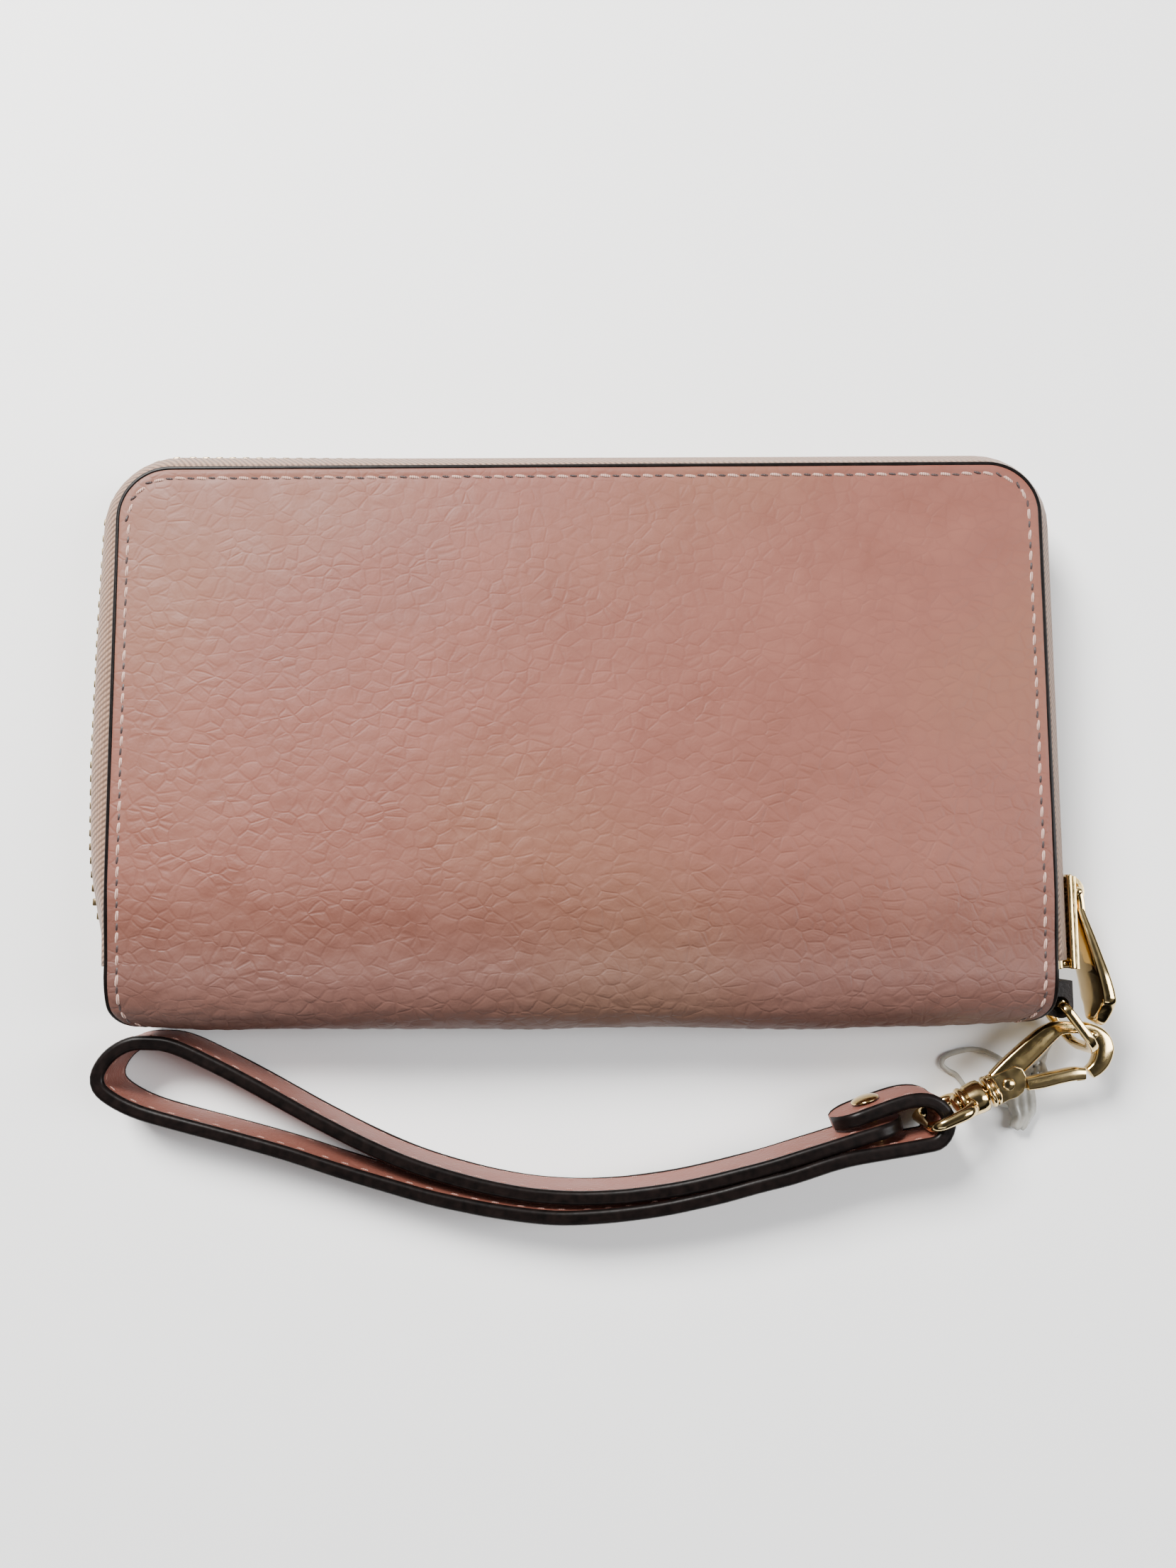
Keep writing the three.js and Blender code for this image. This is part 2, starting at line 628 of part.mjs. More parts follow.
// Tag loop: clear filament round the hook's spine, with a lock at its two ends
const TAG_WIRE = 0.45;
const TAG_ROUTE = [
  [75.3, -63.9, 1.3], [72.3, -63.2, 0.9], [69.8, -61.6, 0.7], [68.6, -60, 0.62],
  [67.6, -58.7, 0.62], [66.3, -58, 0.62], [65.2, -56.9, 0.65], [65.7, -55.6, 0.7],
  [67.9, -54.7, 0.8], [71.1, -54.2, 0.9], [74.4, -55.2, 1.1], [77.9, -57.4, 1.3],
];
const TAG_LOW = 0.2;
const TAG_HIGH = 3;
const TAG_FAN = [[83.6, -59.6], [85.2, -52.7], [84.2, -52.7], [78.8, -59.6]];
const TAG_PLUG = [
  [76.3, -60.2], [81.3, -60.2], [81.7, -64.4], [80.2, -68.2], [76.8, -68.2], [77.1, -66.2], [76.2, -64.6],
];

function tagLoop() {
  const curve = new THREE.CatmullRomCurve3(TAG_ROUTE.map((p) => new THREE.Vector3(...p)));
  const section = new THREE.Shape();
  section.absarc(0, 0, TAG_WIRE, 0, 2 * Math.PI);
  return new THREE.ExtrudeGeometry(section, {
    steps: 36, extrudePath: curve, bevelEnabled: false, curveSegments: 4,
  });
}
add('tag_loop', tagLoop(), CLEAR, 0.15, 0);

function tagPiece(corners) {
  const shape = new THREE.Shape(corners.map((p) => new THREE.Vector2(...p)));
  return slab(shape, TAG_LOW, TAG_HIGH);
}
add('tag_lock', tagPiece(TAG_FAN), CLEAR, 0.15, 0);
add('tag_plug', tagPiece(TAG_PLUG), CLEAR, 0.15, 0);

export default wallet;
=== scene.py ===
"""Looks of the wristlet wallet: leather cover, zip, hardware and wrist strap."""

import json
import math

import bmesh
import bpy
import numpy as np
from mathutils import Matrix, Vector

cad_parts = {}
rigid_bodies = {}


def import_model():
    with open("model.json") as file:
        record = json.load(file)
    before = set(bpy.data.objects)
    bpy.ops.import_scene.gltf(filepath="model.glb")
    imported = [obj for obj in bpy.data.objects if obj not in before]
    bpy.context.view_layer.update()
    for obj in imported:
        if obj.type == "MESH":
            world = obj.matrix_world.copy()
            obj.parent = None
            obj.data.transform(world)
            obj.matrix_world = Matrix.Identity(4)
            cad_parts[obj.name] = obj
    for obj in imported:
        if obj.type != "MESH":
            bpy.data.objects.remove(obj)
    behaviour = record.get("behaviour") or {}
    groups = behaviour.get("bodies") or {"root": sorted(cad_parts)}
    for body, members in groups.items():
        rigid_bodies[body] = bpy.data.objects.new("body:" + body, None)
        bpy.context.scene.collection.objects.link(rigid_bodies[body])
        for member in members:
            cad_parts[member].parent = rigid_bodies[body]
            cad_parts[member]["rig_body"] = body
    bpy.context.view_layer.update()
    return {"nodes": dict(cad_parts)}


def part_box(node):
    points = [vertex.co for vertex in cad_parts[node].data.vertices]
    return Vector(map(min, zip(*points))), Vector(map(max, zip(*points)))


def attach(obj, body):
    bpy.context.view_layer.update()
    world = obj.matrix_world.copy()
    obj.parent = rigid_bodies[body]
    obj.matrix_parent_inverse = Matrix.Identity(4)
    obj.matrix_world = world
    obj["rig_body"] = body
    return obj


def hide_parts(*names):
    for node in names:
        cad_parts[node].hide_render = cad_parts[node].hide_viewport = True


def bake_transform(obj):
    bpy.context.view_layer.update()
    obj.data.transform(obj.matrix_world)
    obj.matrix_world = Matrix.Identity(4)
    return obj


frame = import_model()
MM = 0.001
# Only the cover's stitches draw from this; value_noise seeds its own tables
rng = np.random.default_rng(7)

# Places in millimetres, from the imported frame
COVER_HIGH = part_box("back_cover")[1] / MM
SPINE_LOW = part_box("spine_back")[0] / MM
HALF_X = COVER_HIGH.x
TOP_Y = COVER_HIGH.y
THICK = COVER_HIGH.z
MID = THICK / 2
SPINE_Y = SPINE_LOW.y + MID
FLAT = TOP_Y - SPINE_Y
ARC = MID * math.pi
SKIN_LENGTH = 2 * FLAT + ARC

# Sizes in millimetres that are chosen here, not read from the frame
CORNER = 9.0
SPINE_CORNER = 4.0
LEATHER = 1.5               # the cover's thickness
SPINE_SAG = 1.2
STITCH_INSET = 2.1
STITCH_PITCH = 3.7
STITCH_LENGTH = 2.7

# The camera that matches the photo: lens in mm, place in metres, tilt and roll in radians
PHOTO_LENS = 27.03
PHOTO_PLACE = (0.00133, -0.02662, 0.21811)
PHOTO_TILT, PHOTO_ROLL = 0.09712, -0.00596


# ---------------------------------------------------------------- camera, light and floor

def make_camera():
    data = bpy.data.cameras.new("camera")
    data.sensor_width = 36
    data.lens = PHOTO_LENS
    data.clip_start = 0.01
    camera = bpy.data.objects.new("camera", data)
    camera.location = PHOTO_PLACE
    tilt, roll = PHOTO_TILT, PHOTO_ROLL
    forward = Vector((0, math.sin(tilt), -math.cos(tilt)))
    right = Vector((1, 0, 0))
    up = right.cross(forward)
    turned_right = math.cos(roll) * right + math.sin(roll) * up
    turned_up = -math.sin(roll) * right + math.cos(roll) * up
    camera.rotation_mode = "QUATERNION"
    basis = Matrix((turned_right, turned_up, -forward)).transposed()
    camera.rotation_quaternion = basis.to_quaternion()
    bpy.context.scene.collection.objects.link(camera)
    bpy.context.scene.camera = camera


def area_light(name, place, size, power, colour=(1, 1, 1)):
    data = bpy.data.lights.new(name, "AREA")
    data.shape = "RECTANGLE"
    data.size, data.size_y = size
    data.energy = power
    data.color = colour
    light = bpy.data.objects.new(name, data)
    light.location = place
    light.rotation_mode = "QUATERNION"
    light.rotation_quaternion = (-Vector(place)).to_track_quat("-Z", "Y")
    bpy.context.scene.collection.objects.link(light)


def make_studio():
    world = bpy.data.worlds.new("studio")
    bpy.context.scene.world = world
    world.use_nodes = True
    tree = world.node_tree
    background = tree.nodes["Background"]
    background.inputs["Strength"].default_value = 0.5
    direction = tree.nodes.new("ShaderNodeTexCoord")
    split = tree.nodes.new("ShaderNodeSeparateXYZ")
    ramp = tree.nodes.new("ShaderNodeValToRGB")
    tree.links.new(direction.outputs["Generated"], split.inputs["Vector"])
    tree.links.new(split.outputs["Z"], ramp.inputs["Fac"])
    shade = tree.nodes.new("ShaderNodeMapRange")
    shade.inputs["From Min"].default_value = -0.8
    shade.inputs["From Max"].default_value = 0.5
    shade.inputs["To Min"].default_value = 0.12
    tree.links.new(split.outputs["Y"], shade.inputs["Value"])
    dim = tree.nodes.new("ShaderNodeVectorMath")
    dim.operation = "SCALE"
    tree.links.new(ramp.outputs["Color"], dim.inputs[0])
    tree.links.new(shade.outputs["Result"], dim.inputs["Scale"])
    seen = tree.nodes.new("ShaderNodeLightPath")
    backdrop = tree.nodes.new("ShaderNodeMix")
    backdrop.data_type = "RGBA"
    backdrop.inputs[7].default_value = (1.5, 1.5, 1.5, 1)
    tree.links.new(seen.outputs["Is Camera Ray"], backdrop.inputs["Factor"])
    tree.links.new(dim.outputs["Vector"], backdrop.inputs[6])
    tree.links.new(backdrop.outputs[2], background.inputs["Color"])
    stops = ((0.0, 0.5), (0.16, 0.06), (0.42, 0.10), (0.58, 0.9), (0.8, 0.85), (0.93, 0.16),
             (1.0, 0.12))
    while len(ramp.color_ramp.elements) < len(stops):
        ramp.color_ramp.elements.new(0.5)
    for element, (place, level) in zip(ramp.color_ramp.elements, stops):
        element.position = place
        element.color = (level, level, level * 1.02, 1)
    area_light("key", (-0.36, 0.50, 0.62), (0.3, 0.3), 24.0, (1, 0.985, 0.96))
    area_light("fill", (0.65, 0.0, 0.6), (0.3, 0.6), 8.0, (0.97, 0.985, 1))
    area_light("front", (-0.1, -0.7, 0.5), (0.7, 0.2), 0.8)
    mesh = bpy.data.meshes.new("floor")
    half = 1.6
    corners = [(-half, -half, 0), (half, -half, 0), (half, half, 0), (-half, half, 0)]
    mesh.from_pydata(corners, [], [(0, 1, 2, 3)])
    floor = bpy.data.objects.new("floor", mesh)
    bpy.context.scene.collection.objects.link(floor)
    floor.data.materials.append(floor_material())


# ---------------------------------------------------------------- materials

class Nodes:
    """A short way to write a material's node tree."""

    def __init__(self, name):
        self.material = bpy.data.materials.new(name)
        self.material.use_nodes = True
        self.tree = self.material.node_tree
        self.shader = self.tree.nodes["Principled BSDF"]

    def add(self, kind, **values):
        node = self.tree.nodes.new("ShaderNode" + kind)
        for key, value in values.items():
            if hasattr(node, key):
                setattr(node, key, value)
            else:
                node.inputs[key.replace("_", " ")].default_value = value
        return node

    def link(self, source, target):
        self.tree.links.new(source, target)

    def coords(self, kind="Object"):
        return self.add("TexCoord").outputs[kind]

    def texture(self, kind, coords, scale, **values):
        node = self.add(kind, **values)
        node.inputs["Scale"].default_value = scale
        self.link(coords, node.inputs["Vector"])
        return node

    def ramp(self, source, stops, interpolation="LINEAR"):
        node = self.add("ValToRGB")
        node.color_ramp.interpolation = interpolation
        while len(node.color_ramp.elements) < len(stops):
            node.color_ramp.elements.new(0.5)
        for element, (place, colour) in zip(node.color_ramp.elements, stops):
            element.position = place
            element.color = (*colour, 1) if len(colour) == 3 else colour
        self.link(source, node.inputs["Fac"])
        return node.outputs["Color"]

    def math(self, operation, a, b=None):
        node = self.add("Math", operation=operation)
        for socket, value in zip(node.inputs, (a, b)):
            if value is None:
                continue
            if isinstance(value, (int, float)):
                socket.default_value = value
            else:
                self.link(value, socket)
        return node.outputs[0]

    def mix(self, factor, a, b, blend="MIX"):
        node = self.add("Mix", data_type="RGBA", blend_type=blend)
        for socket, value in ((node.inputs[0], factor), (node.inputs[6], a), (node.inputs[7], b)):
            if isinstance(value, (int, float)):
                socket.default_value = value
            elif isinstance(value, tuple):
                socket.default_value = (*value, 1)
            else:
                self.link(value, socket)
        return node.outputs[2]

    def bump(self, height, distance, strength=1.0, normal=None):
        node = self.add("Bump")
        node.inputs["Strength"].default_value = strength
        node.inputs["Distance"].default_value = distance
        self.link(height, node.inputs["Height"])
        if normal is not None:
            self.link(normal, node.inputs["Normal"])
        return node.outputs["Normal"]

    def finish(self, colour, normal=None, roughness=None, **fixed):
        if isinstance(colour, tuple):
            self.shader.inputs["Base Color"].default_value = (*colour, 1)
        else:
            self.link(colour, self.shader.inputs["Base Color"])
        if normal is not None:
            self.link(normal, self.shader.inputs["Normal"])
        if roughness is not None:
            if isinstance(roughness, (int, float)):
                self.shader.inputs["Roughness"].default_value = roughness
            else:
                self.link(roughness, self.shader.inputs["Roughness"])
        for key, value in fixed.items():
            self.shader.inputs[key.replace("_", " ")].default_value = value
        return self.material


def floor_material():
    n = Nodes("floor")
    grain = n.texture("TexNoise", n.coords(), 60)
    colour = n.ramp(grain.outputs["Fac"], [(0, (0.91, 0.91, 0.91)), (1, (0.94, 0.94, 0.94))])
    return n.finish(colour, roughness=0.7)


def leather_material(name, base, dark, coords="Object", grain=450, depth=0.00030, graded=False):
    """Pebbled leather: grains with fine creases between them, and slow changes of shade.

    A graded skin has soft, shallow grain near its free edge and full grain towards the spine, and painted
    shade that darkens its colour towards the spine.
    """
    n = Nodes(name)
    place = n.coords(coords)
    warp = n.texture("TexNoise", place, 150, Detail=1.0)
    centred = n.add("VectorMath", operation="SUBTRACT")
    n.link(warp.outputs["Color"], centred.inputs[0])
    centred.inputs[1].default_value = (0.5, 0.5, 0.5)
    spread = n.add("VectorMath", operation="SCALE")
    n.link(centred.outputs[0], spread.inputs[0])
    spread.inputs["Scale"].default_value = 0.0019
    moved = n.add("VectorMath", operation="ADD")
    n.link(place, moved.inputs[0])
    n.link(spread.outputs[0], moved.inputs[1])
    stretch = n.add("Mapping")
    stretch.inputs["Scale"].default_value = (0.78, 1.0, 1.0)
    n.link(moved.outputs[0], stretch.inputs["Vector"])
    cells = n.texture("TexVoronoi", stretch.outputs[0], grain, feature="DISTANCE_TO_EDGE")
    small = n.texture("TexVoronoi", moved.outputs[0], grain * 2.1, feature="DISTANCE_TO_EDGE")
    wrinkle = n.texture("TexNoise", stretch.outputs[0], 900, Detail=2.0)
    broad = n.texture("TexNoise", place, 24, Detail=2.0)
    mottle = n.texture("TexNoise", place, 130, Detail=3.0)
    crease = n.ramp(cells.outputs["Distance"],
                    [(0.0, (0, 0, 0)), (0.14, (0.60,) * 3), (0.42, (1, 1, 1))], "EASE")
    fine = n.ramp(small.outputs["Distance"], [(0.0, (0.3, 0.3, 0.3)), (0.3, (1, 1, 1))], "EASE")
    patchy = n.texture("TexNoise", place, 120, Detail=1.0)
    depth_share = n.ramp(patchy.outputs["Fac"], [(0.3, (0.35,) * 3), (0.65, (1, 1, 1))])
    crease = n.math("MULTIPLY", crease, depth_share)
    strength = 0.35
    if graded:
        split = n.add("SeparateXYZ")
        n.link(place, split.inputs[0])
        from_spine = n.math("ABSOLUTE", n.math("SUBTRACT", split.outputs["Y"], SKIN_LENGTH / 2 * MM))
        strength = n.ramp(n.math("DIVIDE", from_spine, SKIN_LENGTH / 2 * MM),
                          [(0.2, (0.50,) * 3), (0.5, (0.34,) * 3), (1.0, (0.24,) * 3)])
    height = n.math("ADD", n.math("MULTIPLY", crease, 0.75), n.math("MULTIPLY", fine, 0.12))
    height = n.math("ADD", height, n.math("MULTIPLY", wrinkle.outputs["Fac"], 0.10))
    first = n.add("Bump", Distance=depth)
    n.link(height, first.inputs["Height"])
    if graded:
        n.link(strength, first.inputs["Strength"])
    else:
        first.inputs["Strength"].default_value = strength
    normal = n.bump(broad.outputs["Fac"], 0.0012, 0.12, first.outputs["Normal"])
    tone = n.math("ADD", n.math("MULTIPLY", broad.outputs["Fac"], 0.55),
                  n.math("MULTIPLY", mottle.outputs["Fac"], 0.45))
    colour = n.ramp(tone, [(0.34, dark), (0.64, base)])
    cloud = n.texture("TexNoise", place, 13, Detail=1.0)
    sandy = n.ramp(cloud.outputs["Fac"], [(0.44, (0, 0, 0)), (0.62, (0.8, 0.8, 0.8))], "EASE")
    colour = n.mix(sandy, colour, PINK_SANDY if graded else base)
    creased = n.ramp(cells.outputs["Distance"], [(0.0, (0.86, 0.82, 0.81)), (0.16, (1, 1, 1))])
    colour = n.mix(0.3, colour, creased, "MULTIPLY")
    if graded:
        # Painted shade: the colour is darker and less red towards the spine, where the roll and its sag
        # valley lie in shade.
        painted_spine_shade = n.ramp(n.math("DIVIDE", from_spine, SKIN_LENGTH / 2 * MM),
                      [(0.0, (0.70, 0.97, 1.0)), (0.13, (0.67, 0.86, 0.96)), (0.22, (0.74, 0.82, 0.82)),
                       (0.34, (0.95, 1.0, 1.0)), (0.6, (1, 1, 1))])
        colour = n.mix(1.0, colour, painted_spine_shade, "MULTIPLY")
    rough = n.ramp(mottle.outputs["Fac"], [(0.3, (0.50, 0.50, 0.50)), (0.7, (0.62, 0.62, 0.62))])
    return n.finish(colour, normal, rough, Specular_IOR_Level=0.35)


def edge_paint_material():
    n = Nodes("edge_paint")
    noise = n.texture("TexNoise", n.coords(), 700, Detail=3.0)
    colour = n.ramp(noise.outputs["Fac"], [(0.3, (0.0025, 0.0018, 0.0017)), (0.75, (0.008, 0.005, 0.0045))])
    return n.finish(colour, n.bump(noise.outputs["Fac"], 0.00008, 0.5), 0.36,
                    Specular_IOR_Level=0.12)


def thread_material(name, light, dark):
    n = Nodes(name)
    ply = n.texture("TexWave", n.coords(), 900, Distortion=1.5)
    colour = n.ramp(ply.outputs["Fac"], [(0.1, dark), (0.7, light)])
    return n.finish(colour, n.bump(ply.outputs["Fac"], 0.00006, 0.7), 0.55, Sheen_Weight=0.2)


def woven_material(name, light, dark, scale, coords="UV"):
    """Twill: two slanting sets of yarns, so fine that they read as a soft diagonal rib."""
    n = Nodes(name)
    place = n.coords(coords)
    turn = n.add("Mapping")
    turn.inputs["Rotation"].default_value = (0, 0, math.radians(38))
    n.link(place, turn.inputs["Vector"])
    rib = n.texture("TexWave", turn.outputs[0], scale, Distortion=0.6, Detail=1.0)
    cross = n.texture("TexWave", place, scale * 1.6, bands_direction="Y", Distortion=0.4)
    fuzz = n.texture("TexNoise", place, 1900, Detail=2.0)
    weft = n.math("MULTIPLY", cross.outputs["Fac"], 0.5)
    weave = n.math("MULTIPLY", rib.outputs["Fac"], n.math("ADD", weft, 0.5))
    shade = n.math("ADD", n.math("MULTIPLY", weave, 0.7), n.math("MULTIPLY", fuzz.outputs["Fac"], 0.3))
    colour = n.ramp(shade, [(0.12, dark), (0.7, light)])
    return n.finish(colour, n.bump(shade, 0.00022, 0.8), 0.85, Sheen_Weight=0.25, Sheen_Roughness=0.5)


def gold_material(name="gold", base=(0.80, 0.60, 0.29), dark=(0.68, 0.49, 0.21), rough=0.09):
    n = Nodes(name)
    place = n.coords()
    tone = n.texture("TexNoise", place, 90, Detail=2.0)
    scratch = n.texture("TexNoise", place, 900, Detail=4.0)
    colour = n.ramp(tone.outputs["Fac"], [(0.3, dark), (0.65, base)])
    shine = n.ramp(scratch.outputs["Fac"], [(0.3, (rough,) * 3), (0.8, (rough + 0.08,) * 3)])
    waves = n.texture("TexNoise", place, 240, Detail=1.0)
    normal = n.bump(waves.outputs["Fac"], 0.00010, 0.25)
    return n.finish(colour, normal, shine, Metallic=1.0)


def clear_material():
    n = Nodes("clear_plastic")
    noise = n.texture("TexNoise", n.coords(), 500, Detail=2.0)
    colour = n.ramp(noise.outputs["Fac"], [(0.3, (0.38, 0.37, 0.33)), (0.7, (0.56, 0.545, 0.50))])
    return n.finish(colour, n.bump(noise.outputs["Fac"], 0.00008, 0.5), 0.16,
                    Transmission_Weight=0.25, IOR=1.42)


PINK = (0.200, 0.070, 0.050)
PINK_DARK = (0.164, 0.055, 0.038)
PINK_SANDY = (0.184, 0.072, 0.044)
MATERIALS = {
    "cover": leather_material("pink_leather", PINK, PINK_DARK, coords="UV", graded=True),
    "strap": leather_material("strap_leather", PINK, PINK_DARK, grain=1000),
    "pocket": leather_material("pocket_leather", (0.19, 0.075, 0.056), (0.15, 0.058, 0.043), grain=1300),
    "tab": leather_material("tab_leather", (0.010, 0.006, 0.006), (0.005, 0.003, 0.003), grain=1500),
    "edge": edge_paint_material(),
    "thread": thread_material("thread", (0.52, 0.33, 0.27), (0.25, 0.125, 0.095)),
    "strap_thread": thread_material("strap_thread", (0.30, 0.14, 0.105), (0.15, 0.062, 0.046)),
    # Painted shade: dark thread that stands in for the shadow in the needle holes between the stitches.
    "hole": thread_material("needle_hole_shade", (0.035, 0.012, 0.010), (0.018, 0.007, 0.006)),
    "tape": woven_material("zip_tape", (0.34, 0.20, 0.13), (0.10, 0.052, 0.033), 400),
    "lining": woven_material("lining", (0.22, 0.125, 0.10), (0.12, 0.065, 0.052), 900),
    "gold": gold_material(),
    "teeth": gold_material("teeth_metal", (0.55, 0.42, 0.24), (0.32, 0.23, 0.12), 0.25),
    "clear": clear_material(),
}


# ---------------------------------------------------------------- mesh tools

def make_object(name, points, faces, material, body=None, uv=None, smooth=True):
    """A new mesh object from points in millimetres. uv gives one (u, v) for each point."""
    mesh = bpy.data.meshes.new(name)
    mesh.from_pydata((np.asarray(points, float) * MM).tolist(), [], [list(f) for f in faces])
    mesh.validate()
    if uv is not None:
        layer = mesh.uv_layers.new(name="UVMap")
        index = np.zeros(len(mesh.loops), int)
        mesh.loops.foreach_get("vertex_index", index)
        layer.data.foreach_set("uv", (np.asarray(uv, float)[index] * MM).ravel())
    mesh.polygons.foreach_set("use_smooth", [smooth] * len(mesh.polygons))
    mesh.materials.append(MATERIALS[material])
    piece = bpy.data.objects.new(name, mesh)
    bpy.context.scene.collection.objects.link(piece)
    bm = bmesh.new()
    bm.from_mesh(mesh)
    bmesh.ops.recalc_face_normals(bm, faces=bm.faces)
    bm.to_mesh(mesh)
    bm.free()
    if body:
        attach(piece, body)
    return piece


def tube_faces(rings, count, closed=False, capped=True):
    """Quads between rings of points; the first and last ring are capped unless the tube is closed."""
    faces = []
    spans = rings if closed else rings - 1
    for i in range(spans):
        a, b = i * count, ((i + 1) % rings) * count
        for j in range(count):
            k = (j + 1) % count
            faces.append((a + j, a + k, b + k, b + j))
    if capped and not closed:
        faces.append(tuple(range(count))[::-1])
        faces.append(tuple(range((rings - 1) * count, rings * count)))
    return faces


def sheet_faces(rows, columns, first):
    """Quads of a grid of points whose first point has the given number."""
    faces = []
    for i in range(rows - 1):
        for j in range(columns - 1):
            a = first + i * columns + j
            faces.append((a, a + 1, a + columns + 1, a + columns))
    return faces


def rim_of(rows, columns, first):
    """The grid's border points, in order round it."""
    rim = list(range(columns))
    rim += [i * columns + columns - 1 for i in range(1, rows)]
    rim += [(rows - 1) * columns + j for j in range(columns - 2, -1, -1)]
    rim += [i * columns for i in range(rows - 2, 0, -1)]
    return [first + k for k in rim]


def closed_sheet(rows, columns):
    """Faces of two grids of points, one over the other, joined round their rims."""
    total = rows * columns
    faces = sheet_faces(rows, columns, 0)
    faces += [face[::-1] for face in sheet_faces(rows, columns, total)]
    rim = rim_of(rows, columns, 0)
    for a, b in zip(rim, rim[1:] + rim[:1]):
        faces.append((b, a, total + a, total + b))
    return faces


def resample(points, step, closed=False):
    """Evenly spaced points on a smooth curve through the given ones."""
    points = np.asarray(points, float)
    if closed:
        padded = np.vstack([points[-1:], points, points[:2]])
        spans = len(points)
    else:
        padded = np.vstack([2 * points[0] - points[1], points, 2 * points[-1] - points[-2]])
        spans = len(points) - 1
    t = np.linspace(0, 1, 24, endpoint=False)[:, None]
    dense = []
    for i in range(spans):
        a, b, c, d = padded[i:i + 4]
        dense.append(0.5 * (2 * b + (c - a) * t + (2 * a - 5 * b + 4 * c - d) * t ** 2
                            + (3 * b - a - 3 * c + d) * t ** 3))
    dense = np.vstack(dense + [points[:1] if closed else points[-1:]])
    length = np.concatenate([[0], np.cumsum(np.linalg.norm(np.diff(dense, axis=0), axis=1))])
    count = max(int(round(length[-1] / step)), 2)
    places = np.linspace(0, length[-1], count + 1)
    if closed:
        places = places[:-1]
    return np.stack([np.interp(places, length, dense[:, k]) for k in range(points.shape[1])], 1)


def tangents(points, closed=False):
    if closed:
        along = np.roll(points, -1, axis=0) - np.roll(points, 1, axis=0)
    else:
        along = np.gradient(points, axis=0)
    return along / np.linalg.norm(along, axis=1, keepdims=True)


def apply_modifier(piece, modifier):
    with bpy.context.temp_override(object=piece, active_object=piece, selected_objects=[piece]):
        bpy.ops.object.modifier_apply(modifier=modifier.name)


def even_shading(piece):
    """Flat faces stay flat under smooth shading, with the roll-over only at their edges."""
    modifier = piece.modifiers.new("normals", "WEIGHTED_NORMAL")
    modifier.keep_sharp = True
    modifier.weight = 80
    apply_modifier(piece, modifier)


def swept(name, stations, power, material, body, round_end=0.5, step=0.4, sides=20):
    """A bar through stations (x, y, z, width, height), upright, with rounded corners and ends.

    A power of 1 gives an oval section, and a smaller one squarer corners.
    """
    table = resample(stations, step)
    along = tangents(table[:, :2])
    rings = []
    angle = (np.arange(sides) + 0.5) * 2 * math.pi / sides
    across = np.sign(np.cos(angle)) * np.abs(np.cos(angle)) ** power / 2
    upward = np.sign(np.sin(angle)) * np.abs(np.sin(angle)) ** power / 2

    def add_ring(k, push, shrink):
        x, y, z, width, height = table[k]
        side = np.array([-along[k, 1], along[k, 0]])
        middle = np.array([x, y]) + along[k] * push
        inset = min(width, height) * (1 - shrink)
        plan = middle + np.outer(across * (width - inset), side)
        rings.append(np.column_stack([plan, z + upward * (height - inset)]))

    turns = (0.98, 0.8, 0.5, 0.2)
    for t in turns:
        add_ring(0, -t * round_end, math.sqrt(1 - t * t) * 0.5 + 0.5 * (1 - t))
    for k in range(len(table)):
        add_ring(k, 0, 1)
    for t in turns[::-1]:
        add_ring(len(table) - 1, t * round_end, math.sqrt(1 - t * t) * 0.5 + 0.5 * (1 - t))
    piece = make_object(name, np.vstack(rings), tube_faces(len(rings), sides), material, body)
    piece.data.set_sharp_from_angle(angle=math.radians(60))
    return piece


def turned(name, profile, origin, angle, body, sides=36, material="gold", slot="gold_metal"):
    """A piece turned on a lathe about an axis in the plane; the profile closes on itself."""
    count = len(profile)
    around = np.linspace(0, 2 * math.pi, sides, endpoint=False)
    axis = np.array([math.cos(angle), math.sin(angle), 0])
    side = np.array([-math.sin(angle), math.cos(angle), 0])
    up = np.array([0, 0, 1.0])
    circle = np.outer(np.cos(around), side) + np.outer(np.sin(around), up)
    rings = [np.array(origin) + reach * axis + radius * circle for reach, radius in profile]
    faces = []
    for i in range(count):
        a, b = i * sides, ((i + 1) % count) * sides
        for j in range(sides):
            k = (j + 1) % sides
            faces.append((a + j, a + k, b + k, b + j))
    piece = make_object(name, np.vstack(rings), faces, material, body)
    piece.data.set_sharp_from_angle(angle=math.radians(50))
    return piece


def plate(name, outline_points, low, high, roll, body, material="gold"):
    """A flat plate with rolled edges."""
    count = len(outline_points)
    points = [(x, y, z) for z in (low, high) for x, y in outline_points]
    faces = [tuple(range(count))[::-1], tuple(range(count, 2 * count))]
    faces += [(k, (k + 1) % count, count + (k + 1) % count, count + k) for k in range(count)]
    piece = make_object(name, points, faces, material, body)
    bm = bmesh.new()
    bm.from_mesh(piece.data)
    sharp = [e for e in bm.edges if e.calc_face_angle(0) > math.radians(25)]
    bmesh.ops.bevel(bm, geom=sharp, offset=roll * MM, segments=3, profile=0.5, affect="EDGES",
                    clamp_overlap=True)
    bm.to_mesh(piece.data)
    bm.free()
    piece.data.polygons.foreach_set("use_smooth", [True] * len(piece.data.polygons))
    piece.data.set_sharp_from_angle(angle=math.radians(60))
    even_shading(piece)
    return piece


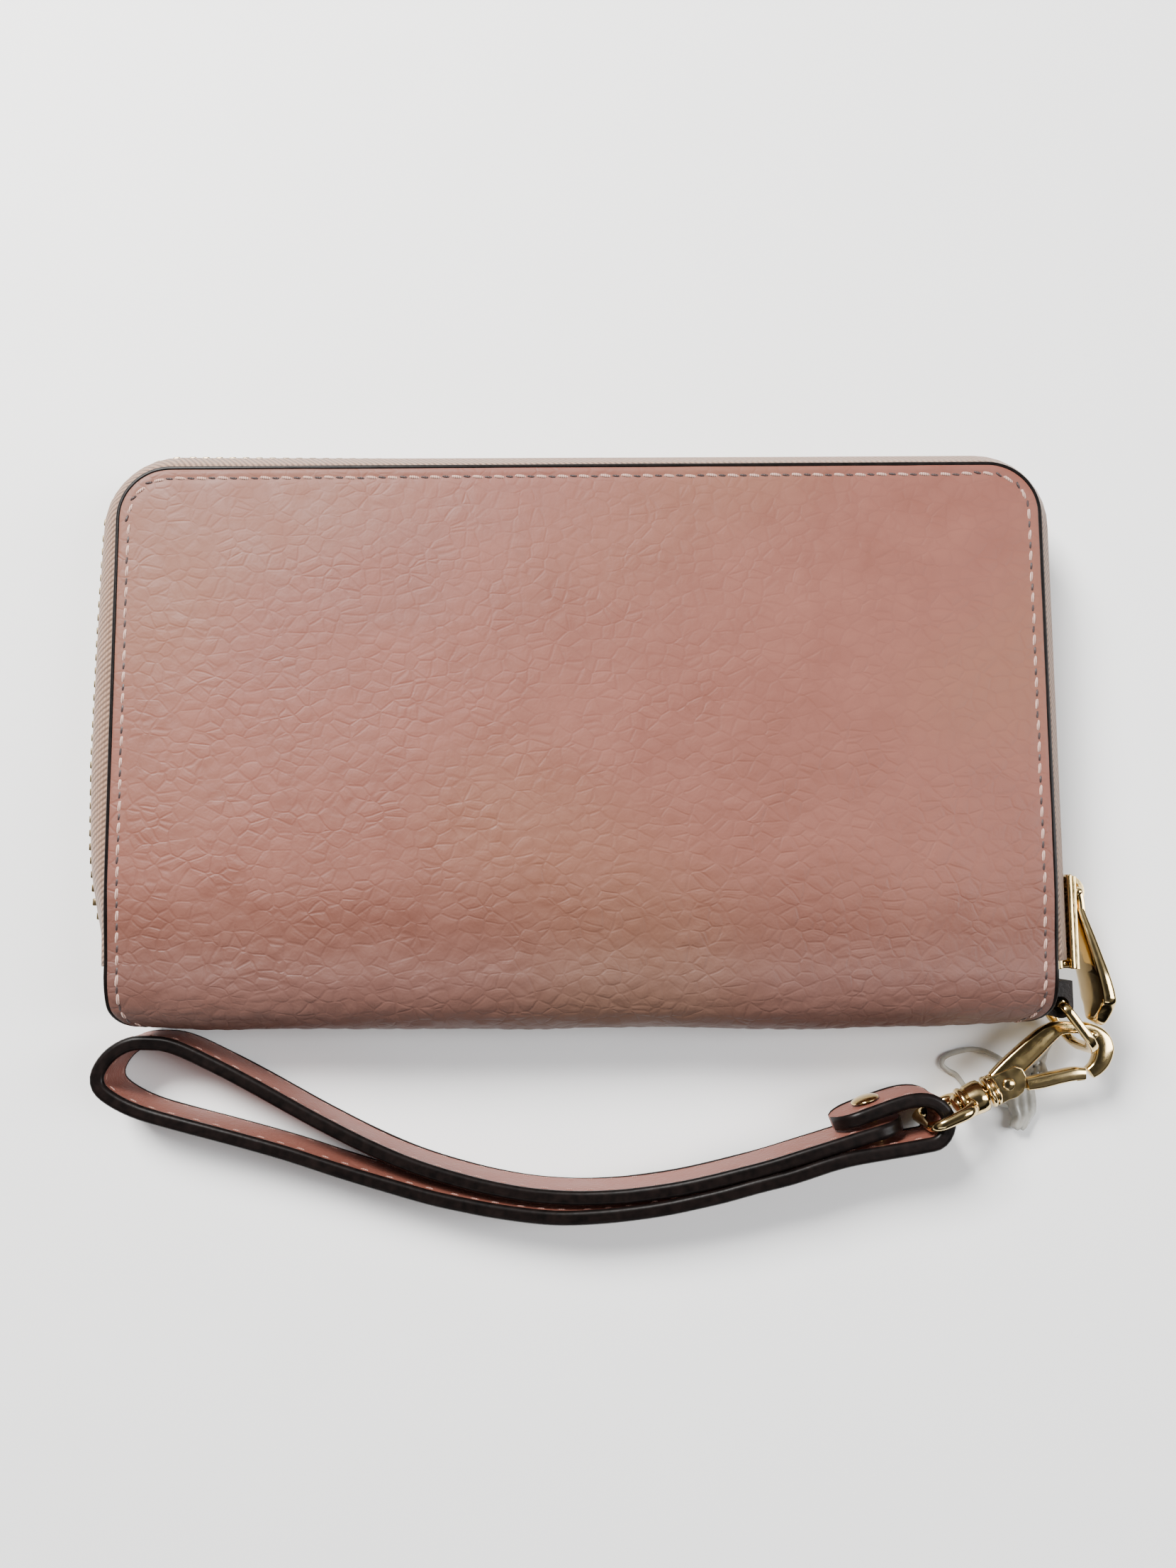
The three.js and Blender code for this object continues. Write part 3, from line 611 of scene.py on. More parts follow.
def softened(node, name, width, segments=3, material="gold", shift=(0, 0, 0)):
    """The CAD piece with its corners rolled over, as a cast and polished piece has them."""
    source = frame["nodes"][node]
    body = source["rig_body"]
    mesh = source.data.copy()
    mesh.name = name
    piece = bpy.data.objects.new(name, mesh)
    bpy.context.scene.collection.objects.link(piece)
    bm = bmesh.new()
    bm.from_mesh(mesh)
    bmesh.ops.remove_doubles(bm, verts=bm.verts, dist=1e-6)
    bmesh.ops.dissolve_limit(bm, angle_limit=math.radians(2), verts=bm.verts, edges=bm.edges)
    sharp = [e for e in bm.edges if len(e.link_faces) == 2 and e.calc_face_angle(0) > math.radians(35)]
    bmesh.ops.bevel(bm, geom=sharp, offset=width * MM, segments=segments, profile=0.5,
                    affect="EDGES", clamp_overlap=True)
    bmesh.ops.translate(bm, verts=bm.verts, vec=Vector(shift) * MM)
    bm.to_mesh(mesh)
    bm.free()
    mesh.polygons.foreach_set("use_smooth", [True] * len(mesh.polygons))
    mesh.set_sharp_from_angle(angle=math.radians(40))
    even_shading(piece)
    mesh = piece.data
    mesh.materials.clear()
    mesh.materials.append(MATERIALS[material])
    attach(piece, body)
    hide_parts(node)
    return piece


# ---------------------------------------------------------------- leather cover


def skin(s, x, depth, sag=SPINE_SAG):
    """The leather sheet: s runs from the front cover's edge, round the spine, to the back cover's.

    The back cover sags a little where it turns down into the spine.
    """
    s, x, depth = np.broadcast_arrays(*(np.asarray(v, float) for v in (s, x, depth)))
    depth = depth + sag * np.exp(-((s - FLAT - ARC) / 9) ** 2)
    angle = np.clip((s - FLAT) / MID, 0, math.pi)
    radius = MID - depth
    y = np.where(s < FLAT, TOP_Y - s, SPINE_Y - radius * np.sin(angle))
    z = np.where(s < FLAT, depth, MID - radius * np.cos(angle))
    beyond = s - FLAT - ARC
    y = np.where(beyond > 0, SPINE_Y + beyond, y)
    z = np.where(beyond > 0, THICK - depth, z)
    return np.stack([x, y, z], -1)


def half_width(s):
    """Half the sheet's width: rounded at its four corners and nipped in at the spine."""
    s = np.asarray(s, float)
    end = np.minimum(s, SKIN_LENGTH - s)
    nip = np.clip(CORNER - end, 0, CORNER)
    width = HALF_X - CORNER + np.sqrt(CORNER ** 2 - nip ** 2)
    y = skin(s, 0, 0)[..., 1]
    drop = np.clip(-(TOP_Y - SPINE_CORNER) - y, 0, SPINE_CORNER)
    return width - (SPINE_CORNER - np.sqrt(SPINE_CORNER ** 2 - drop ** 2))


def outline(inset, step):
    """Points (s, x) round the sheet at a distance inside its edge, with outward directions."""
    ends = np.linspace(0, math.pi / 2, 14)
    radius = CORNER - inset
    s_arc = CORNER - radius * np.cos(ends)
    x_arc = HALF_X - CORNER + radius * np.sin(ends)
    s_side = np.linspace(CORNER, SKIN_LENGTH - CORNER, 160)
    x_side = half_width(s_side) - inset
    s = np.concatenate([s_arc, s_side[1:-1], (SKIN_LENGTH - s_arc)[::-1]])
    x = np.concatenate([x_arc, x_side[1:-1], x_arc[::-1]])
    loop = np.concatenate([np.stack([s, x], 1), np.stack([s, -x], 1)[::-1]])
    closed = np.vstack([loop, loop[:1]])
    length = np.concatenate([[0], np.cumsum(np.linalg.norm(np.diff(closed, axis=0), axis=1))])
    count = int(round(length[-1] / step))
    places = np.arange(count) * length[-1] / count
    points = np.stack([np.interp(places, length, closed[:, k]) for k in (0, 1)], 1)
    along = tangents(points, closed=True)
    return points, along, np.stack([-along[:, 1], along[:, 0]], 1)


def value_noise(x, y, cell, seed):
    """Smooth noise from -1 to 1 on a lattice of the given cell size."""
    table = np.random.default_rng(seed).uniform(-1, 1, (64, 64))
    u, v = np.asarray(x) / cell + 31.7, np.asarray(y) / cell + 17.3
    i, j = np.floor(u).astype(int), np.floor(v).astype(int)
    fu, fv = u - i, v - j
    fu, fv = fu * fu * (3 - 2 * fu), fv * fv * (3 - 2 * fv)
    pick = lambda a, b: table[a % 64, b % 64]
    low = pick(i, j) * (1 - fu) + pick(i + 1, j) * fu
    high = pick(i, j + 1) * (1 - fu) + pick(i + 1, j + 1) * fu
    return low * (1 - fv) + high * fv


def pebbles(x, y, cell, seed):
    """Leather grain from 0, in the creases, to 1, on the grains."""
    x = x + 0.6 * value_noise(x, y, 4.5, seed)
    y = y + 0.6 * value_noise(x, y, 4.5, seed + 1)
    jitter = np.random.default_rng(seed + 2).uniform(0.08, 0.92, (64, 64, 2))
    u, v = x / (cell * 1.25), y / cell
    i, j = np.floor(u).astype(int), np.floor(v).astype(int)
    nearest = np.full(np.shape(u), 9.0)
    second = np.full(np.shape(u), 9.0)
    for di in (-1, 0, 1):
        for dj in (-1, 0, 1):
            spot = jitter[(i + di) % 64, (j + dj) % 64]
            distance = np.hypot(i + di + spot[..., 0] - u, j + dj + spot[..., 1] - v)
            second = np.minimum(second, np.maximum(distance, nearest))
            nearest = np.minimum(nearest, distance)
    rise = np.clip((second - nearest) / 0.75, 0, 1)
    return rise * rise * (3 - 2 * rise)


def skin_depth(s, x):
    """How far the outer skin lies below the nominal one: edges, stitch line, sag and wrinkles."""
    width = half_width(s)
    side = width - np.abs(x)
    end = np.minimum(s, SKIN_LENGTH - s)
    corner_s, corner_x = np.clip(CORNER - end, 0, None), np.clip(np.abs(x) - (HALF_X - CORNER), 0, None)
    in_corner = (end < CORNER) & (np.abs(x) > HALF_X - CORNER)
    edge = np.where(in_corner, CORNER - np.hypot(corner_s, corner_x), np.minimum(side, end))
    edge = np.clip(edge, 0, None)
    back = np.clip((s - FLAT) / 12, 0, 1)
    depth = 0.35 * np.exp(-(edge / 0.7) ** 2)
    depth = depth + 0.16 * np.exp(-((edge - STITCH_INSET) / 0.5) ** 2)
    inner = np.clip((edge - 3) / 14, 0, 1)
    spine = np.exp(-((s - FLAT - ARC * 0.55) / 14) ** 2)
    depth = depth - back * inner * (0.35 + 0.22 * value_noise(x, s, 34, 3) + 0.1 * value_noise(x, s, 13, 4))
    depth = depth - inner * spine * (0.3 + 0.35 * value_noise(x, s, 26, 8))
    fold = value_noise(x * 0.35, s, 4.2, 5) * 0.07 + value_noise(x * 0.5, s, 2.3, 6) * 0.035
    depth = depth - inner * fold * (0.25 + spine * 1.1) * back
    from_spine = np.abs(s - SKIN_LENGTH / 2)
    grain = 0.06 + 0.13 * np.exp(-(from_spine / 38) ** 2) + 0.05 * value_noise(x, s, 15, 9)
    grain = np.clip(grain, 0.03, None) * (0.72 + 0.28 * value_noise(x, s, 4, 10))
    level = 1 - 0.3 * back
    depth = depth - np.clip((edge - 0.6) / 2, 0, 1) * grain * (pebbles(x, s, 3.2, 70) - level)
    above_table = MID * (1 - np.cos(np.clip((s - FLAT) / MID, 0, math.pi)))
    return np.maximum(depth, -above_table)


def make_cover():
    """Leather shell: a finely grained outer face, a plain inner face and a rim that joins them."""
    skip = 4
    ends = CORNER * (1 - np.cos(np.linspace(0, math.pi / 2, 20, endpoint=False)))
    middle = np.linspace(CORNER, SKIN_LENGTH - CORNER, 82 * skip + 1 - len(ends) * 2 + 8)
    s = np.concatenate([ends, middle, (SKIN_LENGTH - ends)[::-1]])
    share = np.linspace(-1, 1, 63 * skip + 1)
    rows, columns = len(s), len(share)
    assert (rows - 1) % skip == 0
    grid_s = np.repeat(s[:, None], columns, 1)
    grid_x = half_width(s)[:, None] * share[None, :]
    outer = skin(grid_s, grid_x, skin_depth(grid_s, grid_x)).reshape(-1, 3)
    inner_s, inner_x = grid_s[::skip, ::skip], grid_x[::skip, ::skip]
    inner = skin(inner_s, inner_x, LEATHER).reshape(-1, 3)
    few_rows, few_columns = inner_s.shape
    total = rows * columns
    faces = sheet_faces(rows, columns, 0)
    faces += [face[::-1] for face in sheet_faces(few_rows, few_columns, total)]
    fine_rim = rim_of(rows, columns, 0)
    coarse_rim = rim_of(few_rows, few_columns, total)
    for k, a in enumerate(coarse_rim):
        b = coarse_rim[(k + 1) % len(coarse_rim)]
        fine = [fine_rim[(k * skip + m) % len(fine_rim)] for m in range(skip + 1)]
        faces.append(tuple(fine[::-1]) + (a, b))
    uv = np.vstack([np.stack([grid_x, grid_s], -1).reshape(-1, 2),
                    np.stack([inner_x, inner_s], -1).reshape(-1, 2)])
    cover = make_object("leather_cover", np.vstack([outer, inner]), faces, "cover", uv=uv)
    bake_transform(cover)
    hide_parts("front_cover", "back_cover", "spine_front", "spine_back",
                "front_board", "back_board")


def on_skin(points, along, out, extra_depth=0.0):
    """Places and axes (along, outward in the sheet, out of the skin) for points of the sheet."""
    s, x = points.T
    depth = skin_depth(s, x) + extra_depth
    here = skin(s, x, depth)
    ahead = skin(s + along[:, 0] * 0.05, x + along[:, 1] * 0.05, depth) - here
    beside = skin(s + out[:, 0] * 0.05, x + out[:, 1] * 0.05, depth) - here
    lift = here - skin(s, x, depth + 0.05)
    unit = lambda v: v / np.linalg.norm(v, axis=1, keepdims=True)
    return here, unit(ahead), unit(beside), unit(lift)


def make_edge_paint():
    points, _, out = outline(0, 0.8)
    s, x = points.T
    base = skin(s, x, 0.0)
    beside = skin(s + out[:, 0] * 0.05, x + out[:, 1] * 0.05, 0.0) - base
    beside /= np.linalg.norm(beside, axis=1, keepdims=True)
    lift = base - skin(s, x, 0.05)
    lift /= np.linalg.norm(lift, axis=1, keepdims=True)
    section = [(-0.72, -0.36), (-0.45, -0.14), (-0.05, -0.10), (0.16, -0.30), (0.26, -0.75),
               (0.16, -1.18), (-0.02, -1.46), (-0.4, -1.56), (-0.7, -1.5), (-0.75, -0.9)]
    wave = 1 + 0.10 * value_noise(np.arange(len(base)) * 0.8, 0 * base[:, 0], 5, 21)
    points3 = np.stack([base + beside * (a * wave)[:, None] + lift * b for a, b in section], 1)
    faces = tube_faces(len(base), len(section), closed=True)
    paint = make_object("cover_edge_paint", points3.reshape(-1, 3), faces, "edge")
    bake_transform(paint)


def capsule(length, radius, rings=5, sides=8, dip=0.5):
    """A stitch lying along x, its ends bent down into the leather."""
    points = []
    for i in range(rings):
        t = i / (rings - 1)
        swell = math.sin(math.pi * (0.12 + 0.76 * t))
        centre_z = -radius * dip * (2 * t - 1) ** 4 * 2.2
        for j in range(sides):
            angle = 2 * math.pi * j / sides
            points.append(((t - 0.5) * length, radius * swell * math.cos(angle),
                           centre_z + radius * 0.8 * swell * math.sin(angle)))
    return np.array(points), tube_faces(rings, sides)


def placed_copies(template, faces, here, ahead, beside, lift):
    """One mesh made of a copy of the template at each place."""
    points = (here[:, None, :] + template[None, :, 0:1] * ahead[:, None, :]
              + template[None, :, 1:2] * beside[:, None, :] + template[None, :, 2:3] * lift[:, None, :])
    count = len(template)
    all_faces = [tuple(k * count + v for v in face) for k in range(len(here)) for face in faces]
    return points.reshape(-1, 3), all_faces


def make_cover_stitching():
    for name, material, length, radius, shift, sink in (
        ("cover_stitches", "thread", STITCH_LENGTH, 0.33, 0.0, 0.0),
        # The dark capsules between the stitches are painted shade of the needle holes.
        ("cover_needle_gap_shade", "hole", 2.0, 0.25, 0.5, 0.02),
    ):
        points, along, out = outline(STITCH_INSET, STITCH_PITCH)
        if shift:
            points = points + along * STITCH_PITCH * shift
        slant = math.radians(7)
        turned = along * math.cos(slant) + out * math.sin(slant)
        across = out * math.cos(slant) - along * math.sin(slant)
        wobble = rng.normal(0, 0.05, len(points))[:, None]
        here, ahead, beside, lift = on_skin(points + out * wobble, turned, across, sink)
        template, faces = capsule(length, radius)
        mesh_points, mesh_faces = placed_copies(template, faces, here, ahead, beside, lift)
        stitches = make_object(name, mesh_points, mesh_faces, material)
        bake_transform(stitches)


# ---------------------------------------------------------------- zip

ZIP_END_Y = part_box("zip_tape_back")[0].y / MM


def zip_path(step):
    """Points (x, y) on the cover's edge along the zip, with outward directions, from right to left."""
    straight = TOP_Y - CORNER - ZIP_END_Y
    arc = CORNER * math.pi / 2
    top = 2 * (HALF_X - CORNER)
    total = 2 * straight + 2 * arc + top
    places = np.linspace(0, total, int(round(total / step)) + 1)
    rows = []
    for d in places:
        if d < straight:
            rows.append((HALF_X, ZIP_END_Y + d, 1, 0))
        elif d < straight + arc:
            a = (d - straight) / CORNER
            rows.append((HALF_X - CORNER + CORNER * math.cos(a),
                         TOP_Y - CORNER + CORNER * math.sin(a), math.cos(a), math.sin(a)))
        elif d < straight + arc + top:
            rows.append((HALF_X - CORNER - (d - straight - arc), TOP_Y, 0, 1))
        elif d < straight + 2 * arc + top:
            a = math.pi / 2 + (d - straight - arc - top) / CORNER
            rows.append((-HALF_X + CORNER + CORNER * math.cos(a),
                         TOP_Y - CORNER + CORNER * math.sin(a), math.cos(a), math.sin(a)))
        else:
            rows.append((-HALF_X, TOP_Y - CORNER - (d - 2 * arc - straight - top), -1, 0))
    rows = np.array(rows)
    return rows[:, :2], rows[:, 2:], places


# How far the zip bows out past its plain route, by distance back from its closed end
BOW_PLACES = (0, 4, 10, 20, 35, 60, 77, 91, 130, 200, 233)
BOW_SIZES = (-2.5, -1.0, 0.5, 1.1, 1.3, 1.1, 0.8, 0.4, 0.1, 0, 0)
BOW_FULL = 1.5


def zip_bow(places, length):
    return np.interp(length - places, BOW_PLACES, BOW_SIZES)


# The tape's middle line, as (out from the cover's edge, height): taut, and where it bows out
TAPE_TAUT = ((-3.2, 2.2), (0.3, 2.15), (1.3, 3.3), (2.2, 4.8), (3.1, 6.3), (3.6, 7.6), (3.55, 8.6))
TAPE_BOWED = ((-3.2, 2.2), (0.3, 2.15), (2.0, 2.9), (3.2, 4.3), (3.75, 6.0), (3.7, 7.6), (3.55, 8.6))
TAPE_HALF = 0.3


def make_tapes():
    edge, out, places = zip_path(1.6)
    length = places[-1]
    bow = zip_bow(places, length)
    bow = np.convolve(np.pad(bow, 4, mode="edge"), np.ones(9) / 9, mode="valid")
    for body, mirrored, seed in (("front_half", False, 31), ("back_half", True, 32)):
        ripple = 0.22 * value_noise(places, 0 * places, 19, seed)
        ripple = ripple + 0.08 * value_noise(places, 0 * places, 6, seed + 5)
        rings, uv = [], []
        for k in range(len(edge)):
            share = np.clip(bow[k] / BOW_FULL, 0, 1)
            route = np.array(TAPE_TAUT) * (1 - share) + np.array(TAPE_BOWED) * share
            reach = np.clip((route[:, 0] - 0.3) / 3.2, 0, 1)
            loose = min(1.0, share + 0.25)
            route[:, 0] += reach * bow[k] + reach * (1 - reach) * 4 * ripple[k] * loose
            middle = resample(route, 0.1)
            middle = middle[np.linspace(0, len(middle) - 1, 18).astype(int)]
            along = tangents(middle)
            side = np.stack([-along[:, 1], along[:, 0]], 1)
            half = np.full(len(middle), TAPE_HALF)
            half[-3:] = (0.36, 0.42, 0.3)
            section = np.vstack([middle + side * half[:, None], (middle - side * half[:, None])[::-1]])
            z = THICK - section[:, 1] if mirrored else section[:, 1]
            rings.append(np.column_stack([edge[k] + section[:, :1] * out[k], z]))
            across = np.concatenate([np.arange(18), np.arange(18)[::-1] + 40]) * 0.55
            uv.append(np.column_stack([np.full(len(section), places[k]), across]))
        name = f"zip_tape_{'back' if mirrored else 'front'}"
        tape = make_object(name + "_woven", np.vstack(rings), tube_faces(len(rings), len(section)),
                           "tape", body, uv=np.vstack(uv))
        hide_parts(name)


def tooth_template():
    """A metal tooth: clamped on the tape's cord at one end, with a rounded head at the other."""
    bm = bmesh.new()
    bmesh.ops.create_cube(bm, size=1)
    for v in bm.verts:
        head = v.co.z > 0
        v.co.x *= 0.95 if head else 1.35
        v.co.y *= 1.3 if head else 1.8
        v.co.z = v.co.z * 2.6
    bmesh.ops.bevel(bm, geom=bm.edges[:], offset=0.22, segments=2, profile=0.5, affect="EDGES")
    points = np.array([v.co[:] for v in bm.verts])
    faces = [tuple(v.index for v in f.verts) for f in bm.faces]
    bm.free()
    return points, faces


def make_teeth():
    template, faces = tooth_template()
    pitch = 2.4
    middle_out = 3.2
    proud = 0.75
    bare_end = 6
    for body, mirrored in (("front_half", False), ("back_half", True)):
        edge, out, places = zip_path(pitch / 2)
        pick = slice(1 if mirrored else 0, None, 2)
        keep = places[pick] < places[-1] - bare_end
        bow = zip_bow(places, places[-1])[pick][keep]
        edge, out = edge[pick][keep], out[pick][keep]
        sign = -1 if mirrored else 1
        height = MID - sign * 1.05
        reach = middle_out + bow * (1 + proud)
        here = np.column_stack([edge + out * reach[:, None], np.full(len(edge), height)])
        beside = np.column_stack([out, np.zeros(len(out))])
        lift = np.tile([0.0, 0.0, float(sign)], (len(out), 1))
        ahead = np.cross(beside, lift)
        points, all_faces = placed_copies(template, faces, here, ahead, beside, lift)
        name = f"zip_teeth_{'back' if mirrored else 'front'}"
        teeth = make_object(name + "_metal", points, all_faces, "teeth", body)
        teeth.data.set_sharp_from_angle(angle=math.radians(50))
        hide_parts(name)


# ---------------------------------------------------------------- inside of the wallet

def make_lining():
    """One cloth lining from the front cover, across the spine, to the back cover."""
    inset = 2.4
    s = np.linspace(inset, SKIN_LENGTH - inset, 150)
    share = np.linspace(-1, 1, 70)
    grid_s = np.repeat(s[:, None], len(share), 1)
    grid_x = (half_width(s) - 2.2)[:, None] * share[None, :]
    flat_depth = 2.95
    wave = 0.08 * value_noise(grid_x, grid_s, 17, 41)
    top = skin(grid_s, grid_x, flat_depth + 0.45 + wave, sag=0).reshape(-1, 3)
    under = skin(grid_s, grid_x, flat_depth, sag=0).reshape(-1, 3)
    faces = closed_sheet(*grid_s.shape)
    uv = np.stack([grid_x, grid_s], -1).reshape(-1, 2)
    lining = make_object("inner_lining", np.vstack([top, under]), faces, "lining",
                         uv=np.vstack([uv, uv]))
    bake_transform(lining)
    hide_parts("front_lining", "back_lining")


def make_pocket(node, facing):
    """A leather pocket panel with rolled edges and one row of stitches along one edge."""
    low, high = (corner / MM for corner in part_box(node))
    body = frame["nodes"][node]["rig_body"]
    nx, ny = 40, 30
    xs = low.x + (high.x - low.x) * np.linspace(0, 1, nx)
    ys = low.y + (high.y - low.y) * np.linspace(0, 1, ny)
    gx, gy = np.meshgrid(xs, ys, indexing="ij")
    edge = np.minimum(np.minimum(gx - low.x, high.x - gx), np.minimum(gy - low.y, high.y - gy))
    crown = 0.1 * (1 - np.exp(-edge / 5)) + 0.05 * value_noise(gx, gy, 14, 51)
    round_off = 0.18 * np.exp(-(edge / 0.35) ** 2)
    face_z = (high.z - round_off + crown) if facing > 0 else (low.z + round_off - crown)
    rear_z = low.z if facing > 0 else high.z
    top = np.stack([gx, gy, face_z], -1).reshape(-1, 3)
    under = np.stack([gx, gy, np.full_like(gx, rear_z)], -1).reshape(-1, 3)
    faces = closed_sheet(nx, ny)
    pocket = make_object(node + "_leather", np.vstack([top, under]), faces, "pocket", body)
    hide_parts(node)
    row = np.arange(low.x + 2, high.x - 2, 3.2)
    here = np.column_stack([row, np.full_like(row, high.y - 1.4),
                            np.full_like(row, (high.z + 0.02) if facing > 0 else (low.z - 0.02))])
    ahead = np.tile([1.0, 0, 0], (len(row), 1))
    beside = np.tile([0, 1.0, 0], (len(row), 1))
    lift = np.tile([0, 0, float(facing)], (len(row), 1))
    template, stitch_faces = capsule(2.0, 0.18, rings=4, sides=6)
    points, all_faces = placed_copies(template, stitch_faces, here, ahead, beside, lift)
    make_object(node + "_stitches", points, all_faces, "thread", body)


def make_gusset(side):
    """Pleated cloth between the two halves, folded like a fan."""
    node = f"gusset_{side}"
    low, high = (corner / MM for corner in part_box(node))
    sign = 1 if side == "right" else -1
    outer = high.x if sign > 0 else low.x
    inner = low.x if sign > 0 else high.x
    folds = np.linspace(0, 1, 41)
    y = np.linspace(low.y, high.y, 40)
    points, uv = [], []
    for offset in (0.0, -0.35):
        for t in folds:
            zig = 1 - abs(2 * t - 1)
            zig = zig ** 0.85
            x = outer + (inner - outer) * zig + sign * offset
            z = low.z + (high.z - low.z) * t
            for v in y:
                sway = 0.15 * math.sin(v * 0.35 + t * 5)
                points.append((x + sway * zig, v, z))
                uv.append((t * 16, v))
    faces = closed_sheet(len(folds), len(y))
    gusset = make_object(f"gusset_{side}_cloth", points, faces, "lining", uv=uv)
    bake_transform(gusset)
    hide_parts(node)


# ---------------------------------------------------------------- wrist strap

STRAP_ROUTE = [
    (43.6, -65.9), (50, -63.5), (56.5, -61.5), (60.5, -61.8), (62.7, -64.6), (61.4, -68),
    (57.6, -69.2), (46, -71.1), (33.8, -74.6), (21.6, -77.8), (9.4, -80.2), (-2.7, -81.1),
    (-14.8, -79.9), (-26.9, -77.3), (-39.1, -73.8), (-51.3, -69.9), (-63.6, -66.5),
    (-75.9, -63.2), (-82.4, -60), (-84.1, -57.2), (-82.6, -53.9), (-79.6, -51.7), (-76, -51.1),
    (-70.1, -52.1), (-57.7, -58.2), (-45.3, -64.9), (-33, -70.8), (-20.9, -74.8), (-8.7, -77.2),
    (3.4, -77.7), (15.5, -76.4), (27.7, -73.6), (40, -70), (46.1, -68.2), (51.5, -66.6),
    (55.6, -65.6),
]
STRAP_THICK = 2.2
STRAP_WIDTH = 10.3
STRAP_LIFT = 2.1


def strap_rise(x):
    t = np.clip((np.asarray(x) + 5) / 50, 0, 1)
    return STRAP_LIFT * t * t * (3 - 2 * t)


def make_strap():
    line = resample(STRAP_ROUTE, 0.9)
    along = tangents(line)
    side = np.stack([-along[:, 1], along[:, 0]], 1)
    step = 0.9
    place = np.arange(len(line)) * step
    to_end = np.minimum(place, place[-1] - place)
    tip = 4.6
    taper = np.sqrt(np.clip(1 - np.clip(1 - to_end / tip, 0, 1) ** 2, 0.04, 1))
    middle = strap_rise(line[:, 0]) + 0.05 + STRAP_WIDTH / 2
    half = STRAP_WIDTH / 2 * taper
    wave = 0.10 * value_noise(place, 0 * place, 7, 61)

    # faces: a flat leather band with slightly crowned sides
    section = [(0.5, -0.94), (0.51, -0.5), (0.515, 0), (0.51, 0.5), (0.5, 0.94),
               (-0.5, 0.94), (-0.51, 0.5), (-0.515, 0), (-0.51, -0.5), (-0.5, -0.94)]
    rings = np.stack([
        np.column_stack([line + side * (a * STRAP_THICK), middle + b * half]) for a, b in section
    ], 1)
    band = make_object("wrist_strap_leather", rings.reshape(-1, 3),
                       tube_faces(len(line), len(section)), "strap", "strap")
    band.data.set_sharp_from_angle(angle=math.radians(50))
    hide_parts("wrist_strap")

    # painted edges: a domed bead with a faint groove where the two layers meet
    bead = [(-0.53, 0.86), (-0.56, 0.95), (-0.44, 1.02), (-0.2, 1.05), (0, 1.025),
            (0.2, 1.05), (0.44, 1.02), (0.56, 0.95), (0.53, 0.86)]
    for name, sign in (("upper", 1), ("lower", -1)):
        rings = np.stack([
            np.column_stack([line + side * (a * STRAP_THICK + wave[:, None] * (abs(a) > 0.3)),
                             middle + sign * b * half]) for a, b in bead
        ], 1)
        if sign < 0:
            rings[..., 2] = np.maximum(rings[..., 2], 0.02)
        make_object(f"strap_edge_{name}", rings.reshape(-1, 3),
                    tube_faces(len(line), len(bead)), "edge", "strap")

    # stitches near both edges of both faces
    stops = np.arange(6, place[-1] - 5, 3.9)
    index = np.clip((stops / step).astype(int), 0, len(line) - 1)
    here, ahead, beside, lift = [], [], [], []
    for face in (1, -1):
        for row in (1, -1):
            spot = line[index] + side[index] * face * (STRAP_THICK / 2 + 0.03)
            here.append(np.column_stack([spot, middle[index] + row * (STRAP_WIDTH / 2 - 1.5)]))
            ahead.append(np.column_stack([along[index], np.zeros(len(index))]))
            beside.append(np.tile([0, 0, 1.0], (len(index), 1)))
            lift.append(np.column_stack([side[index] * face, np.zeros(len(index))]))
    template, faces = capsule(2.2, 0.17, rings=4, sides=6)
    frames = (np.vstack(v) for v in (here, ahead, beside, lift))
    points, all_faces = placed_copies(template, faces, *frames)
    make_object("strap_stitches", points, all_faces, "strap_thread", "strap")


# ---------------------------------------------------------------- hardware

